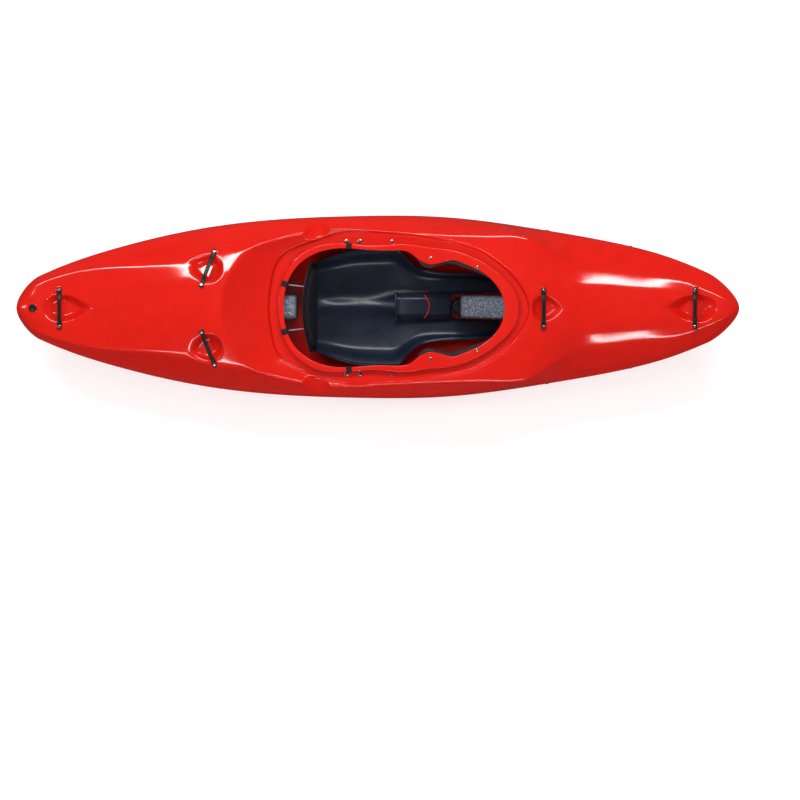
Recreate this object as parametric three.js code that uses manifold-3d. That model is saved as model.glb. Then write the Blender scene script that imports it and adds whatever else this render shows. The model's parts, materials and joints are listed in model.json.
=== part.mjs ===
// Whitewater kayak: a moulded shell with its cockpit outfitting, grab bars and foot brace.
// Millimetres. +X runs to the bow, +Y to port, +Z up.
// The origin is on the keel, below the middle of the hull.

import * as THREE from "three";
import { mergeVertices } from "three/addons/utils/BufferGeometryUtils.js";
import Module from "manifold-3d";

const wasm = await Module();
wasm.setup();

// Hull sizes
const hullLength = 2565;
const hullBeam = 654;
const hullHeight = 389;
const shellWall = 5;
const tipSolid = 48;
const tipStep = 4;
const sternRound = 80;
const bowRound = 110;
const sternTipHeight = 287;
const bowTipHeight = 309;
const flatAftEnd = -80;
const flatForeEnd = 350;
const sternRise = 252;
const bowRise = 278;
const panelHalfWidth = 112;

// Running clearances
const seatGap = 0.3;
const screwGap = 0.6;
const overrun = 40;
const sliverSize = 0.2;

// Cockpit rim
const cockpitCentre = 57;
const cockpitLength = 782;
const cockpitWidth = 418;
const rimThickness = 5;
const rimRoll = 11;
const neckInset = 18;
const neckWall = 5;
const channelDepth = 24;
const channelStep = 12;
const channelStepWidth = 9;
const bowlSlope = 0.45;
const bowlReach = 230;
const bowlCurveLength = 625;

// Lines of the hull: [share of the half length from midships, share of the half beam or of the height]
const beamShares = [
  [-1, 0.23], [-0.89, 0.43], [-0.72, 0.655], [-0.5, 0.855], [-0.28, 0.96], [-0.05, 0.998],
  [0.1, 1], [0.22, 0.975], [0.44, 0.86], [0.66, 0.706], [0.83, 0.522], [0.94, 0.335], [1, 0.22],
];
const partingShares = [
  [-1, 0.66], [-0.6, 0.527], [-0.17, 0.48], [0.02, 0.467], [0.36, 0.48], [0.6, 0.523],
  [0.78, 0.59], [0.9, 0.675], [1, 0.765],
];
const crownShares = [
  [-1, 0.84], [-0.9, 0.805], [-0.72, 0.853], [-0.5, 0.962], [-0.43, 0.985], [-0.37, 0.945],
  [-0.3, 0.861], [-0.19, 0.765], [-0.06, 0.75], [0.02, 0.787], [0.09, 0.838], [0.18, 0.897],
  [0.27, 0.95], [0.34, 0.974], [0.41, 0.974], [0.48, 0.946], [0.6, 0.877], [0.74, 0.848],
  [0.86, 0.846], [0.95, 0.905], [1, 0.96],
];
const ridgeHeightShares = [
  [-1, 0.78], [-0.84, 0.794], [-0.7, 0.822], [-0.59, 0.86], [-0.5, 0.868], [-0.41, 0.87],
  [-0.31, 0.833], [-0.21, 0.763], [-0.06, 0.72], [0.02, 0.765], [0.09, 0.815], [0.18, 0.872],
  [0.27, 0.905], [0.34, 0.915], [0.41, 0.907], [0.5, 0.838], [0.6, 0.794], [0.74, 0.776],
  [0.85, 0.807], [0.95, 0.895], [1, 0.945],
];
const ridgeWidthShares = [
  [-1, 0.16], [-0.88, 0.345], [-0.73, 0.448], [-0.6, 0.478], [-0.52, 0.53], [-0.45, 0.62],
  [-0.39, 0.635], [-0.3, 0.69], [-0.2, 0.805], [-0.1, 0.85], [0.02, 0.83], [0.2, 0.8],
  [0.34, 0.8], [0.4, 0.785], [0.46, 0.67], [0.53, 0.495], [0.62, 0.42], [0.74, 0.368],
  [0.86, 0.268], [0.94, 0.14], [1, 0.08],
];
const chineWidthShares = [
  [-1, 0.62], [-0.6, 0.7], [-0.2, 0.82], [0.15, 0.86], [0.5, 0.82], [0.8, 0.7], [1, 0.6],
];
const chineRiseShares = [
  [-1, 0.08], [-0.6, 0.15], [-0.2, 0.085], [0.15, 0.08], [0.5, 0.095], [0.75, 0.16], [1, 0.08],
];
const panelShares = [[-1, 0.16], [-0.6, 0.42], [-0.1, 0.96], [0.2, 1], [0.5, 0.78], [0.8, 0.4], [1, 0.2]];
const rimHeightShares = [
  [-0.3, 0.71], [-0.25, 0.708], [-0.16, 0.718], [-0.07, 0.738], [0.01, 0.79], [0.1, 0.864],
  [0.18, 0.926], [0.25, 0.967], [0.32, 0.992], [0.42, 0.992],
];

// Cockpit outlines, as shares of half the opening's length and of half its width, from the bow end aft
const openingShares = [
  [1, 0], [0.954, 0.316], [0.9, 0.45], [0.816, 0.589], [0.703, 0.699], [0.616, 0.766], [0.519, 0.809],
  [0.432, 0.772], [0.363, 0.74], [0.294, 0.756], [0.225, 0.823], [0.138, 0.943], [0.005, 0.976],
  [-0.338, 1], [-0.68, 0.943], [-0.895, 0.66], [-1, 0],
];
const lipShares = [
  [1.13, 0], [1.095, 0.287], [0.99, 0.526], [0.834, 0.746], [0.747, 0.837], [0.573, 0.962],
  [0.312, 1.03], [0.12, 1.085], [-0.325, 1.075], [-0.72, 1.033], [-0.94, 0.72], [-1.049, 0],
];
const channelShares = [
  [1.21, 0], [1.148, 0.34], [1.066, 0.545], [0.918, 0.789], [0.747, 0.981], [0.58, 1.081],
  [0.194, 1.22], [-0.18, 1.273], [-0.53, 1.24], [-0.678, 1.148], [-0.86, 1.029], [-1.023, 0.833],
  [-1.1, 0.45], [-1.128, 0],
];

// Mesh resolution
const stationCount = 46;
const innerStationCount = 26;
const spanSteps = 2;
const innerSpanSteps = 1;
const rimSteps = 44;
const boltSides = 8;
const holeSides = 6;

const halfLength = hullLength / 2;
const halfBeam = hullBeam / 2;

// A natural cubic spline through the rows of a table, as a function of the first column.
function splineThrough(table) {
  const n = table.length;
  const x = table.map((row) => row[0]);
  const y = table.map((row) => row[1]);
  const curve = new Array(n).fill(0);
  const work = new Array(n).fill(0);
  for (let i = 1; i < n - 1; i += 1) {
    const ratio = (x[i] - x[i - 1]) / (x[i + 1] - x[i - 1]);
    const pivot = ratio * curve[i - 1] + 2;
    const rise = (y[i + 1] - y[i]) / (x[i + 1] - x[i]) - (y[i] - y[i - 1]) / (x[i] - x[i - 1]);
    curve[i] = (ratio - 1) / pivot;
    work[i] = ((6 * rise) / (x[i + 1] - x[i - 1]) - ratio * work[i - 1]) / pivot;
  }
  for (let i = n - 2; i > 0; i -= 1) {
    curve[i] = curve[i] * curve[i + 1] + work[i];
  }
  curve[0] = 0;
  return (at) => {
    let k = 0;
    while (k < n - 2 && at > x[k + 1]) {
      k += 1;
    }
    const step = x[k + 1] - x[k];
    const a = (x[k + 1] - at) / step;
    const b = 1 - a;
    const bend = (a ** 3 - a) * curve[k] + (b ** 3 - b) * curve[k + 1];
    return a * y[k] + b * y[k + 1] + (bend * step * step) / 6;
  };
}

const beamLine = splineThrough(beamShares);
const partingLine = splineThrough(partingShares);
const crownLine = splineThrough(crownShares);
const ridgeHeightLine = splineThrough(ridgeHeightShares);
const ridgeWidthLine = splineThrough(ridgeWidthShares);
const chineWidthLine = splineThrough(chineWidthShares);
const chineRiseLine = splineThrough(chineRiseShares);
const panelLine = splineThrough(panelShares);
const rimLine = splineThrough(rimHeightShares);

// Height of the keel: flat under the seat, curving up to both ends.
function keelHeight(x) {
  if (x < flatAftEnd) {
    const s = (flatAftEnd - x) / (halfLength + flatAftEnd);
    return sternRise * s ** 2.4;
  }
  if (x > flatForeEnd) {
    const s = (x - flatForeEnd) / (halfLength - flatForeEnd);
    return bowRise * (0.73 * s ** 2 + 0.27 * s ** 6);
  }
  return 0;
}

// How far a section is drawn in as the ends round off: 1 along the hull, 0 at the tips.
function tipRound(x) {
  const radius = x < 0 ? sternRound : bowRound;
  const left = halfLength - Math.abs(x);
  if (left >= radius) {
    return 1;
  }
  return Math.sqrt(Math.max(0, 1 - ((radius - left) / radius) ** 2));
}

// Control points of half a section, from the keel round to the middle of the deck.
function sectionControls(x) {
  const u = x / halfLength;
  const beam = halfBeam * beamLine(u);
  const keel = keelHeight(x);
  const parting = hullHeight * partingLine(u);
  const crown = hullHeight * crownLine(u);
  const ridgeZ = hullHeight * ridgeHeightLine(u);
  const ridgeY = halfBeam * ridgeWidthLine(u);
  const panel = Math.min(panelHalfWidth * panelLine(u), beam * 0.5);
  const chineY = beam * chineWidthLine(u);
  const chineZ = keel + hullHeight * chineRiseLine(u);
  const sideLow = parting - 0.38 * (parting - chineZ);
  const sideHigh = parting + 0.24 * (ridgeZ - parting);
  return [
    [0, keel],
    [panel * 0.5, keel],
    [panel, keel],
    [chineY, chineZ],
    [beam, sideLow],
    [beam, sideHigh],
    [ridgeY + 0.12 * (beam - ridgeY), ridgeZ - 0.09 * (ridgeZ - sideHigh)],
    [ridgeY, ridgeZ],
    [ridgeY * 0.9, ridgeZ + 0.22 * (crown - ridgeZ)],
    [ridgeY * 0.42, crown],
    [0, crown],
  ];
}

// A smooth curve (a clamped quadratic B-spline) through the legs of a control polygon.
function smoothLegs(controls, steps) {
  const points = [];
  const last = controls.length - 3;
  const middle = (a, b) => [(a[0] + b[0]) / 2, (a[1] + b[1]) / 2];
  for (let i = 0; i <= last; i += 1) {
    const from = i === 0 ? controls[0] : middle(controls[i], controls[i + 1]);
    const to = i === last ? controls[last + 2] : middle(controls[i + 1], controls[i + 2]);
    const via = controls[i + 1];
    for (let k = 0; k < steps; k += 1) {
      const t = k / steps;
      const s = 1 - t;
      points.push([0, 1].map((c) => s * s * from[c] + 2 * s * t * via[c] + t * t * to[c]));
    }
  }
  points.push(controls[last + 2]);
  return points;
}

// Half a finished section at x, drawn in towards the tip's middle where the ends round off.
function halfSection(x, steps) {
  const round = tipRound(x);
  const tipZ = x < 0 ? sternTipHeight : bowTipHeight;
  return smoothLegs(sectionControls(x), steps).map(([y, z]) => [y * round, tipZ + (z - tipZ) * round]);
}

// A whole section ring, port side first, moved inwards by an inset.
function sectionRing(x, inset, steps) {
  const half = halfSection(x, steps);
  const mirrored = half.slice(1, -1).reverse().map(([y, z]) => [-y, z]);
  const ring = half.concat(mirrored);
  return ring.map(([y, z], i) => {
    const before = ring[(i + ring.length - 1) % ring.length];
    const after = ring[(i + 1) % ring.length];
    const along = new THREE.Vector2(after[0] - before[0], after[1] - before[1]).normalize();
    return new THREE.Vector3(x, y - along.y * inset, z + along.x * inset);
  });
}

// Height of the deck above a point of the plan, before the bowl and the recesses.
function deckHeight(x, y) {
  const half = halfSection(x, 8);
  const across = Math.abs(y);
  for (let i = half.length - 1; i > 0; i -= 1) {
    const [outerY, outerZ] = half[i - 1];
    const [innerY, innerZ] = half[i];
    if (across <= outerY) {
      return innerZ + ((outerZ - innerZ) * (across - innerY)) / (outerY - innerY);
    }
  }
  return half[0][1];
}

function rimHeight(x) {
  const first = rimHeightShares[0][0];
  const last = rimHeightShares[rimHeightShares.length - 1][0];
  const u = Math.min(Math.max(x / halfLength, first), last);
  return hullHeight * rimLine(u);
}

// Closed meshes and solids

const highest = hullHeight + overrun;

// A closed geometry from vertices and triangles, with its faces pointing out.
function closedGeometry(vertices, triangles) {
  let volume = 0;
  for (const [a, b, c] of triangles) {
    volume += vertices[a].dot(new THREE.Vector3().crossVectors(vertices[b], vertices[c]));
  }
  const facing = volume < 0 ? triangles.map(([a, b, c]) => [a, c, b]) : triangles;
  const geometry = new THREE.BufferGeometry();
  const places = vertices.flatMap((v) => v.toArray());
  geometry.setAttribute("position", new THREE.Float32BufferAttribute(places, 3));
  geometry.setIndex(facing.flat());
  return geometry;
}

// The triangles between the rings of a row, from each ring to the next.
function bandsBetween(rings) {
  const sides = rings[0].length;
  const triangles = [];
  for (let i = 0; i < rings.length - 1; i += 1) {
    for (let k = 0; k < sides; k += 1) {
      const a = i * sides + k;
      const b = i * sides + ((k + 1) % sides);
      triangles.push([a, b, b + sides], [a, b + sides, a + sides]);
    }
  }
  return triangles;
}

// A skin over a row of rings, with each end closed by a fan to its tip, or else to its middle.
function loft(rings, tips) {
  const sides = rings[0].length;
  const vertices = rings.flat();
  const triangles = bandsBetween(rings);
  for (const end of [0, rings.length - 1]) {
    const middle = new THREE.Vector3();
    rings[end].forEach((point) => middle.addScaledVector(point, 1 / sides));
    const tip = tips ? tips[end === 0 ? 0 : 1] : middle;
    const centre = vertices.push(tip) - 1;
    for (let k = 0; k < sides; k += 1) {
      const a = end * sides + k;
      const b = end * sides + ((k + 1) % sides);
      triangles.push(end === 0 ? [b, a, centre] : [a, b, centre]);
    }
  }
  return closedGeometry(vertices, triangles);
}

// A skin over thin rings, each one face out and the other back, with the ends closed between the faces.
function thinLoft(rings) {
  const sides = rings[0].length;
  const triangles = bandsBetween(rings);
  const last = (rings.length - 1) * sides;
  for (let k = 0; k < sides / 2 - 1; k += 1) {
    const across = sides - 1 - k;
    triangles.push([k + 1, k, across], [k + 1, across, across - 1]);
    triangles.push([last + k, last + k + 1, last + across], [last + k + 1, last + across - 1, last + across]);
  }
  return closedGeometry(rings.flat(), triangles);
}

// A skin over rings that close on themselves, as round a rim.
function ringLoft(rings) {
  const sides = rings[0].length;
  const count = rings.length;
  const triangles = [];
  for (let i = 0; i < count; i += 1) {
    for (let k = 0; k < sides; k += 1) {
      const a = i * sides + k;
      const b = i * sides + ((k + 1) % sides);
      const c = ((i + 1) % count) * sides + ((k + 1) % sides);
      const d = ((i + 1) % count) * sides + k;
      triangles.push([a, b, c], [a, c, d]);
    }
  }
  return closedGeometry(rings.flat(), triangles);
}

function toSolid(geometry) {
  const bare = geometry.clone();
  bare.deleteAttribute("normal");
  bare.deleteAttribute("uv");
  const merged = mergeVertices(bare);
  return new wasm.Manifold(new wasm.Mesh({
    numProp: 3,
    vertProperties: new Float32Array(merged.attributes.position.array),
    triVerts: new Uint32Array(merged.index.array),
  }));
}

function toGeometry(solid) {
  const mesh = solid.getMesh();
  const geometry = new THREE.BufferGeometry();
  geometry.setAttribute("position", new THREE.BufferAttribute(new Float32Array(mesh.vertProperties), 3));
  geometry.setIndex(new THREE.BufferAttribute(new Uint32Array(mesh.triVerts), 1));
  return geometry;
}

// A block between two corners.
function block(low, high) {
  const size = new THREE.Vector3().subVectors(high, low);
  const geometry = new THREE.BoxGeometry(size.x, size.y, size.z);
  geometry.translate((low.x + high.x) / 2, (low.y + high.y) / 2, (low.z + high.z) / 2);
  return geometry;
}

// A solid of revolution about an axis from a point: rows of [radius, distance along the axis].
function turned(profile, from, direction, segments) {
  const points = profile.map(([radius, along]) => new THREE.Vector2(radius, along));
  const geometry = new THREE.LatheGeometry(points, segments);
  const turn = new THREE.Quaternion().setFromUnitVectors(new THREE.Vector3(0, 1, 0), direction);
  geometry.applyQuaternion(turn);
  geometry.translate(from.x, from.y, from.z);
  return geometry;
}

// A round rod from one distance to another along an axis.
function rod(radius, start, end, from, direction, segments) {
  return turned([[0, start], [radius, start], [radius, end], [0, end]], from, direction, segments);
}

// A plate cut to an outline and given a thickness, with its face turned into place by a matrix.
function plate(outline, thickness, matrix) {
  const settings = { depth: thickness, bevelEnabled: false, curveSegments: 6 };
  const geometry = new THREE.ExtrudeGeometry(outline, settings);
  geometry.applyMatrix4(matrix);
  return geometry;
}

// Cockpit outlines in polar form round the middle of the opening

function polarLine(shares) {
  const rows = shares.map(([along, across]) => {
    const x = (along * cockpitLength) / 2;
    const y = (across * cockpitWidth) / 2;
    return [Math.atan2(y, x), Math.hypot(x, y)];
  });
  const before = rows.slice(1, 3).reverse().map(([angle, radius]) => [-angle, radius]);
  const after = rows.slice(-3, -1).reverse().map(([angle, radius]) => [2 * Math.PI - angle, radius]);
  const line = splineThrough([...before, ...rows, ...after]);
  return (angle) => line(angle > Math.PI ? 2 * Math.PI - angle : angle);
}

const openingRadius = polarLine(openingShares);
const lipRadius = polarLine(lipShares);
const channelRadius = polarLine(channelShares);

// The neck stands inside the lip, but never inside the opening's own edge.
function neckRadius(angle) {
  return Math.max(openingRadius(angle) + neckWall * 1.2, lipRadius(angle) - neckInset);
}

function polarPoint(angle, radius, height) {
  return new THREE.Vector3(cockpitCentre + radius * Math.cos(angle), radius * Math.sin(angle), height);
}

const rimAngles = Array.from({ length: rimSteps }, (_, i) => (2 * Math.PI * i) / rimSteps);

// How far the bowl has risen from the floor of the channel, a distance outside the channel's edge.
function bowlRise(outside) {
  const step = Math.min(Math.max(outside / channelStepWidth, 0), 1);
  const far = Math.max(outside, 0);
  return channelStep * step * step * (3 - 2 * step) + bowlSlope * far + (far * far) / bowlCurveLength;
}

// The space above the channel and the bowl, lowered by a wall for the inside of the shell.
function bowlSpace(lowered) {
  const outsides = [0, channelStepWidth, bowlReach * 0.15, bowlReach * 0.35, bowlReach * 0.65, bowlReach];
  const ringAt = (radiusAt, rise, top) => rimAngles.map((angle) => {
    const point = polarPoint(angle, radiusAt(angle), 0);
    const floor = rimHeight(point.x) - channelDepth + rise - lowered;
    point.z = top ? highest + hullHeight : floor;
    return point;
  });
  const rings = [ringAt((angle) => neckRadius(angle) * 0.8, 0, false)];
  for (const outside of outsides) {
    rings.push(ringAt((angle) => channelRadius(angle) + lowered + outside, bowlRise(outside), false));
  }
  rings.push(ringAt((angle) => channelRadius(angle) + lowered + bowlReach, 0, true));
  return toSolid(loft(rings));
}

// The coaming: a neck that rises from the channel, and a flat rim with its outer edge rolled down.
function coaming() {
  const rings = rimAngles.map((angle) => {
    const inner = openingRadius(angle);
    const outer = lipRadius(angle);
    const neck = neckRadius(angle);
    const profile = [
      [inner, -rimThickness * 0.3],
      [inner + rimThickness * 0.4, 0],
      [outer - rimThickness * 0.5, 0],
      [outer, -rimThickness * 0.5],
      [outer, -rimRoll],
      [outer - rimThickness, -rimRoll],
      [outer - rimThickness, -rimThickness],
      [neck + neckWall / 2, -rimThickness],
      [neck + neckWall / 2, -channelDepth - shellWall * 0.8],
      [neck - neckWall / 2, -channelDepth - shellWall * 0.8],
      [neck - neckWall / 2, -rimThickness],
      [inner, -rimThickness],
    ];
    return profile.map(([radius, drop]) => {
      const point = polarPoint(angle, radius, 0);
      point.z = rimHeight(point.x) + drop;
      return point;
    });
  });
  return toSolid(ringLoft(rings));
}

// The prism that opens the deck inside the neck.
function openingSpace() {
  const ringAt = (height) => rimAngles.map((angle) => polarPoint(angle, neckRadius(angle), height));
  return toSolid(loft([ringAt(hullHeight * 0.42), ringAt(highest)]));
}

// Places of the hull's stations, closer together towards the tips.
function stationPlaces(count, reach) {
  return Array.from({ length: count + 1 }, (_, i) => {
    const t = (2 * i) / count - 1;
    return (reach * (Math.sin((Math.PI * t) / 2) + t)) / 2;
  });
}

// The outside of the hull, to both tips.
function hullOutside() {
  const rings = stationPlaces(stationCount, halfLength - tipStep).map((x) => sectionRing(x, 0, spanSteps));
  const sternTip = new THREE.Vector3(-halfLength, 0, sternTipHeight);
  const bowTip = new THREE.Vector3(halfLength, 0, bowTipHeight);
  return toSolid(loft(rings, [sternTip, bowTip]));
}

// The space inside the hull, at an inset from its outside. The tips stay solid.
function hullInside(inset) {
  const places = stationPlaces(innerStationCount, halfLength - tipSolid);
  const rings = places.map((x) => sectionRing(x, inset, innerSpanSteps));
  return toSolid(loft(rings));
}

// Grab bars on the deck: the two seats of each one's ends, and the hollow below it
const barWidth = 16;
const barThickness = 8;
const barArch = 5;
const barPadLength = 26;
const barEndLength = 10;
const barScrewSpacing = 130;
const bossRadius = 13;
const bossRise = 2.5;
const bowBossRise = 7;
const bossDepth = 12;
const hollowDepth = 26;
const hollowFloorShare = 0.6;
const barScrewRadius = 3;
const barScrewHeadRadius = 5.6;
const barScrewHeadHeight = 2.6;
const barScrewEndGap = 1;
const hollowSteps = 12;

// Places of the bars along the deck, from the hull's tips and from the ends of the cockpit
const sternBarInset = 155.5;
const bowBarInset = 157.5;
const foreBarReach = 137;
const sideBarInnerReach = 285;
const sideBarOuterReach = 240;
const sideBarInnerSpread = 79;
const sideBarOuterSpread = 199;
const cockpitFore = cockpitCentre + cockpitLength / 2;
const cockpitAft = cockpitCentre - cockpitLength / 2;
const sternBarPlace = sternBarInset - halfLength;
const bowBarPlace = halfLength - bowBarInset;
const foreBarPlace = cockpitFore + foreBarReach;
const sideBarInnerPlace = cockpitAft - sideBarInnerReach;
const sideBarOuterPlace = cockpitAft - sideBarOuterReach;

// The hollows: half length, half width, the shift of the middle from the bar to the point, and the taper
const sternHollow = { halfLength: 78, halfWidth: 48, shift: 22, point: 1, taperPower: 0.7 };
const foreHollow = { halfLength: 56, halfWidth: 45, shift: 15, point: 1, taperPower: 0.7 };
const bowHollow = { halfLength: 74, halfWidth: 48, shift: 10, point: -1, taperPower: 0.7 };
const sideHollow = { halfLength: 60, halfWidth: 49, shift: 7, point: -1, taperPower: 0.35 };

const bars = [
  { name: "stern_bar", ends: acrossEnds(sternBarPlace), hollow: sternHollow, rise: bossRise },
  { name: "foredeck_bar", ends: acrossEnds(foreBarPlace), hollow: foreHollow, rise: bossRise },
  { name: "bow_bar", ends: acrossEnds(bowBarPlace), hollow: bowHollow, rise: bowBossRise },
  { name: "port_bar", ends: slantedEnds(1), hollow: sideHollow, rise: bossRise },
  { name: "starboard_bar", ends: slantedEnds(-1), hollow: sideHollow, rise: bossRise },
];

function acrossEnds(x) {
  return [[x, -barScrewSpacing / 2], [x, barScrewSpacing / 2]];
}

function slantedEnds(side) {
  const inner = [sideBarInnerPlace, side * sideBarInnerSpread];
  const outer = [sideBarOuterPlace, side * sideBarOuterSpread];
  return side > 0 ? [inner, outer] : [outer, inner];
}

// A bar's own frame: X along it from starboard to port, Y towards the stern, Z up from the deck.
function barFrame(bar) {
  const [from, to] = bar.ends.map(([x, y]) => new THREE.Vector3(x, y, deckHeight(x, y)));
  const along = new THREE.Vector3().subVectors(to, from);
  const span = along.length();
  along.normalize();
  const middle = new THREE.Vector3().addVectors(from, to).multiplyScalar(0.5);
  const fore = new THREE.Vector3(middle.x + barWidth, middle.y, deckHeight(middle.x + barWidth, middle.y));
  const aft = new THREE.Vector3(middle.x - barWidth, middle.y, deckHeight(middle.x - barWidth, middle.y));
  const back = new THREE.Vector3().subVectors(aft, fore);
  const up = new THREE.Vector3().crossVectors(along, back).normalize();
  const across = new THREE.Vector3().crossVectors(up, along);
  const matrix = new THREE.Matrix4().makeBasis(along, across, up).setPosition(middle);
  return { matrix, span, up };
}

// The hollow under a bar: round at one end and pointed at the other, drawn in towards its floor.
function barHollow(bar, grown) {
  const { matrix } = barFrame(bar);
  const { halfLength: long, halfWidth: wide, shift, point, taperPower: power } = bar.hollow;
  const widestShare = (2 * Math.sqrt(1 + power)) / (2 + power);
  const fullShare = widestShare * ((1 + power) / (2 + power)) ** (power / 2);
  const ringAt = (share, height) => Array.from({ length: hollowSteps }, (_, i) => {
    const turn = (2 * Math.PI * i) / hollowSteps;
    const width = (wide * share + grown) / fullShare;
    const across = width * Math.sin(turn) * Math.sin(turn / 2) ** power;
    const along = (long * share + grown) * Math.cos(turn);
    return new THREE.Vector3(across, -point * (along + shift), height).applyMatrix4(matrix);
  });
  const flare = overrun / hollowDepth;
  const topShare = 1 + flare * (1 - hollowFloorShare);
  return toSolid(loft([ringAt(hollowFloorShare, -hollowDepth - grown), ringAt(topShare, overrun)]));
}

// The two round bosses that a bar's ends are screwed to.
function barBosses(bar) {
  const { matrix, span, up } = barFrame(bar);
  return [-1, 1].map((end) => {
    const seat = new THREE.Vector3((end * span) / 2, 0, 0).applyMatrix4(matrix);
    const boss = toSolid(rod(bossRadius, -bossDepth, bar.rise, seat, up, boltSides));
    const hole = toSolid(rod(barScrewRadius + screwGap, -bossDepth * 0.8, overrun, seat, up, holeSides));
    return { boss, hole };
  });
}

// Fixings through the shell: each has a place on its outside, a direction out of it and a head and shank
const railBoltAftShare = 0.4725;
const railBoltForeShare = 0.704;
const railBoltAftHeightShare = 0.442;
const railBoltForeHeightShare = 0.504;
const railBoltAft = halfLength * railBoltAftShare;
const railBoltFore = halfLength * railBoltForeShare;
const railPlace = (railBoltAft + railBoltFore) / 2;
const railBoltAftHeight = hullHeight * railBoltAftHeightShare;
const railBoltForeHeight = hullHeight * railBoltForeHeightShare;
const ratchetBoltAft = -110;
const ratchetBoltFore = -62;
const ratchetBoltOutset = 27;
const seatBoltPlace = 52;
const braceBoltAft = 189;
const braceBoltFore = 352;
const braceBoltAftSpread = 178;
const braceBoltForeSpread = 146;
const rimBoltSpread = cockpitWidth / 2 + ratchetBoltOutset;
const faceDepth = 0.8;

const railBolt = { head: 7, headHeight: 3, shank: 3, length: 24 };
const ratchetBolt = { head: 8, headHeight: 4, shank: 3, length: 22 };
const seatBolt = { head: 6, headHeight: 3, shank: 3, length: 48 };
const braceBolt = { head: 6, headHeight: 3, shank: 3, length: 26 };

const upward = new THREE.Vector3(0, 0, 1);

// A point on the port side of the hull at a height, and the direction straight out of it.
function sidePoint(x, height) {
  const half = halfSection(x, 8);
  let k = 1;
  while (k < half.length - 1 && half[k][1] < height) {
    k += 1;
  }
  const [lowY, lowZ] = half[k - 1];
  const [highY, highZ] = half[k];
  const share = (height - lowZ) / (highZ - lowZ);
  const out = new THREE.Vector3(0, highZ - lowZ, lowY - highY).normalize();
  return { at: new THREE.Vector3(x, lowY + share * (highY - lowY), height), out };
}

// A place on the floor of the channel, or on the rim, straight above the plan.
function channelPoint(x, y) {
  return { at: new THREE.Vector3(x, y, rimHeight(x) - channelDepth), out: upward };
}

function rimPoint(x, y) {
  return { at: new THREE.Vector3(x, y, rimHeight(x)), out: upward };
}

const portFixings = [
  { name: "rail_bolt_aft", size: railBolt, ...sidePoint(railBoltAft, railBoltAftHeight) },
  { name: "rail_bolt_fore", size: railBolt, ...sidePoint(railBoltFore, railBoltForeHeight) },
  { name: "ratchet_bolt_aft", size: ratchetBolt, ...channelPoint(ratchetBoltAft, rimBoltSpread) },
  { name: "ratchet_bolt_fore", size: ratchetBolt, ...channelPoint(ratchetBoltFore, rimBoltSpread) },
  { name: "seat_bolt", size: seatBolt, ...channelPoint(seatBoltPlace, rimBoltSpread) },
  { name: "brace_bolt_aft", size: braceBolt, ...rimPoint(braceBoltAft, braceBoltAftSpread) },
  { name: "brace_bolt_fore", size: braceBolt, ...rimPoint(braceBoltFore, braceBoltForeSpread) },
];

function mirrored(vector) {
  return new THREE.Vector3(vector.x, -vector.y, vector.z);
}

const fixings = portFixings.flatMap((fixing) => [
  { ...fixing, name: `${fixing.name}_port` },
  { ...fixing, name: `${fixing.name}_starboard`, at: mirrored(fixing.at), out: mirrored(fixing.out) },
]);

// The cut for one fixing: a clearance hole, and a flat face for its head.
function fixingCut(fixing) {
  const { head, shank, length } = fixing.size;
  const hole = rod(shank + screwGap, -length, overrun, fixing.at, fixing.out, holeSides);
  const face = rod(head + screwGap, -faceDepth, overrun / 2, fixing.at, fixing.out, boltSides);
  return toSolid(hole).add(toSolid(face));
}

// The scoop in each side deck: a rounded trough that falls outwards from the deck's edge.
const scoopReach = 120;
const scoopPlace = cockpitAft + scoopReach;
const scoopHalfWidth = 58;
const scoopInner = 246;
const scoopOuter = 350;
const scoopInnerFloor = 262;
const scoopOuterFloor = 205;
const scoopTop = 300;
const scoopSteps = 6;

function sideScoop(side, grown) {
  const sectionAt = (y, floor) => {
    const depth = scoopTop - floor + grown;
    const points = Array.from({ length: scoopSteps + 1 }, (_, i) => {
      const t = (2 * i) / scoopSteps - 1;
      const height = scoopTop - depth * (1 - t * t);
      return new THREE.Vector3(scoopPlace + t * (scoopHalfWidth + grown), side * y, height);
    });
    points.push(new THREE.Vector3(scoopPlace + scoopHalfWidth + grown, side * y, highest));
    points.push(new THREE.Vector3(scoopPlace - scoopHalfWidth - grown, side * y, highest));
    return points;
  };
  const fall = (scoopInnerFloor - scoopOuterFloor) / (scoopOuter - scoopInner);
  return toSolid(loft([
    sectionAt(scoopInner - grown, scoopInnerFloor + fall * grown),
    sectionAt(scoopOuter, scoopOuterFloor),
  ]));
}

// Drain plug
const drainInset = 61.5;
const drainPlace = drainInset - halfLength;
const drainHeadRadius = 14;
const drainFaceMargin = 1.5;
const drainHeadHeight = 5;
const drainThreadRadius = 10;
const drainThreadLength = 18;
const drainSeat = new THREE.Vector3(drainPlace, 0, deckHeight(drainPlace, 0));

function drainCut() {
  const holeRadius = drainThreadRadius + screwGap;
  const faceRadius = drainHeadRadius + drainFaceMargin;
  const holeEnd = -drainThreadLength - seatGap;
  const hole = rod(holeRadius, holeEnd, overrun, drainSeat, upward, boltSides * 2);
  const face = rod(faceRadius, -faceDepth * 2, overrun / 2, drainSeat, upward, boltSides * 2);
  return toSolid(hole).add(toSolid(face));
}

// The space inside the shell, which the pieces that fill it are cut to.
function cavity(inset) {
  let space = hullInside(inset).subtract(bowlSpace(inset));
  for (const bar of bars) {
    space = space.subtract(barHollow(bar, inset));
  }
  for (const side of [1, -1]) {
    space = space.subtract(sideScoop(side, inset));
  }
  return space;
}

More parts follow.
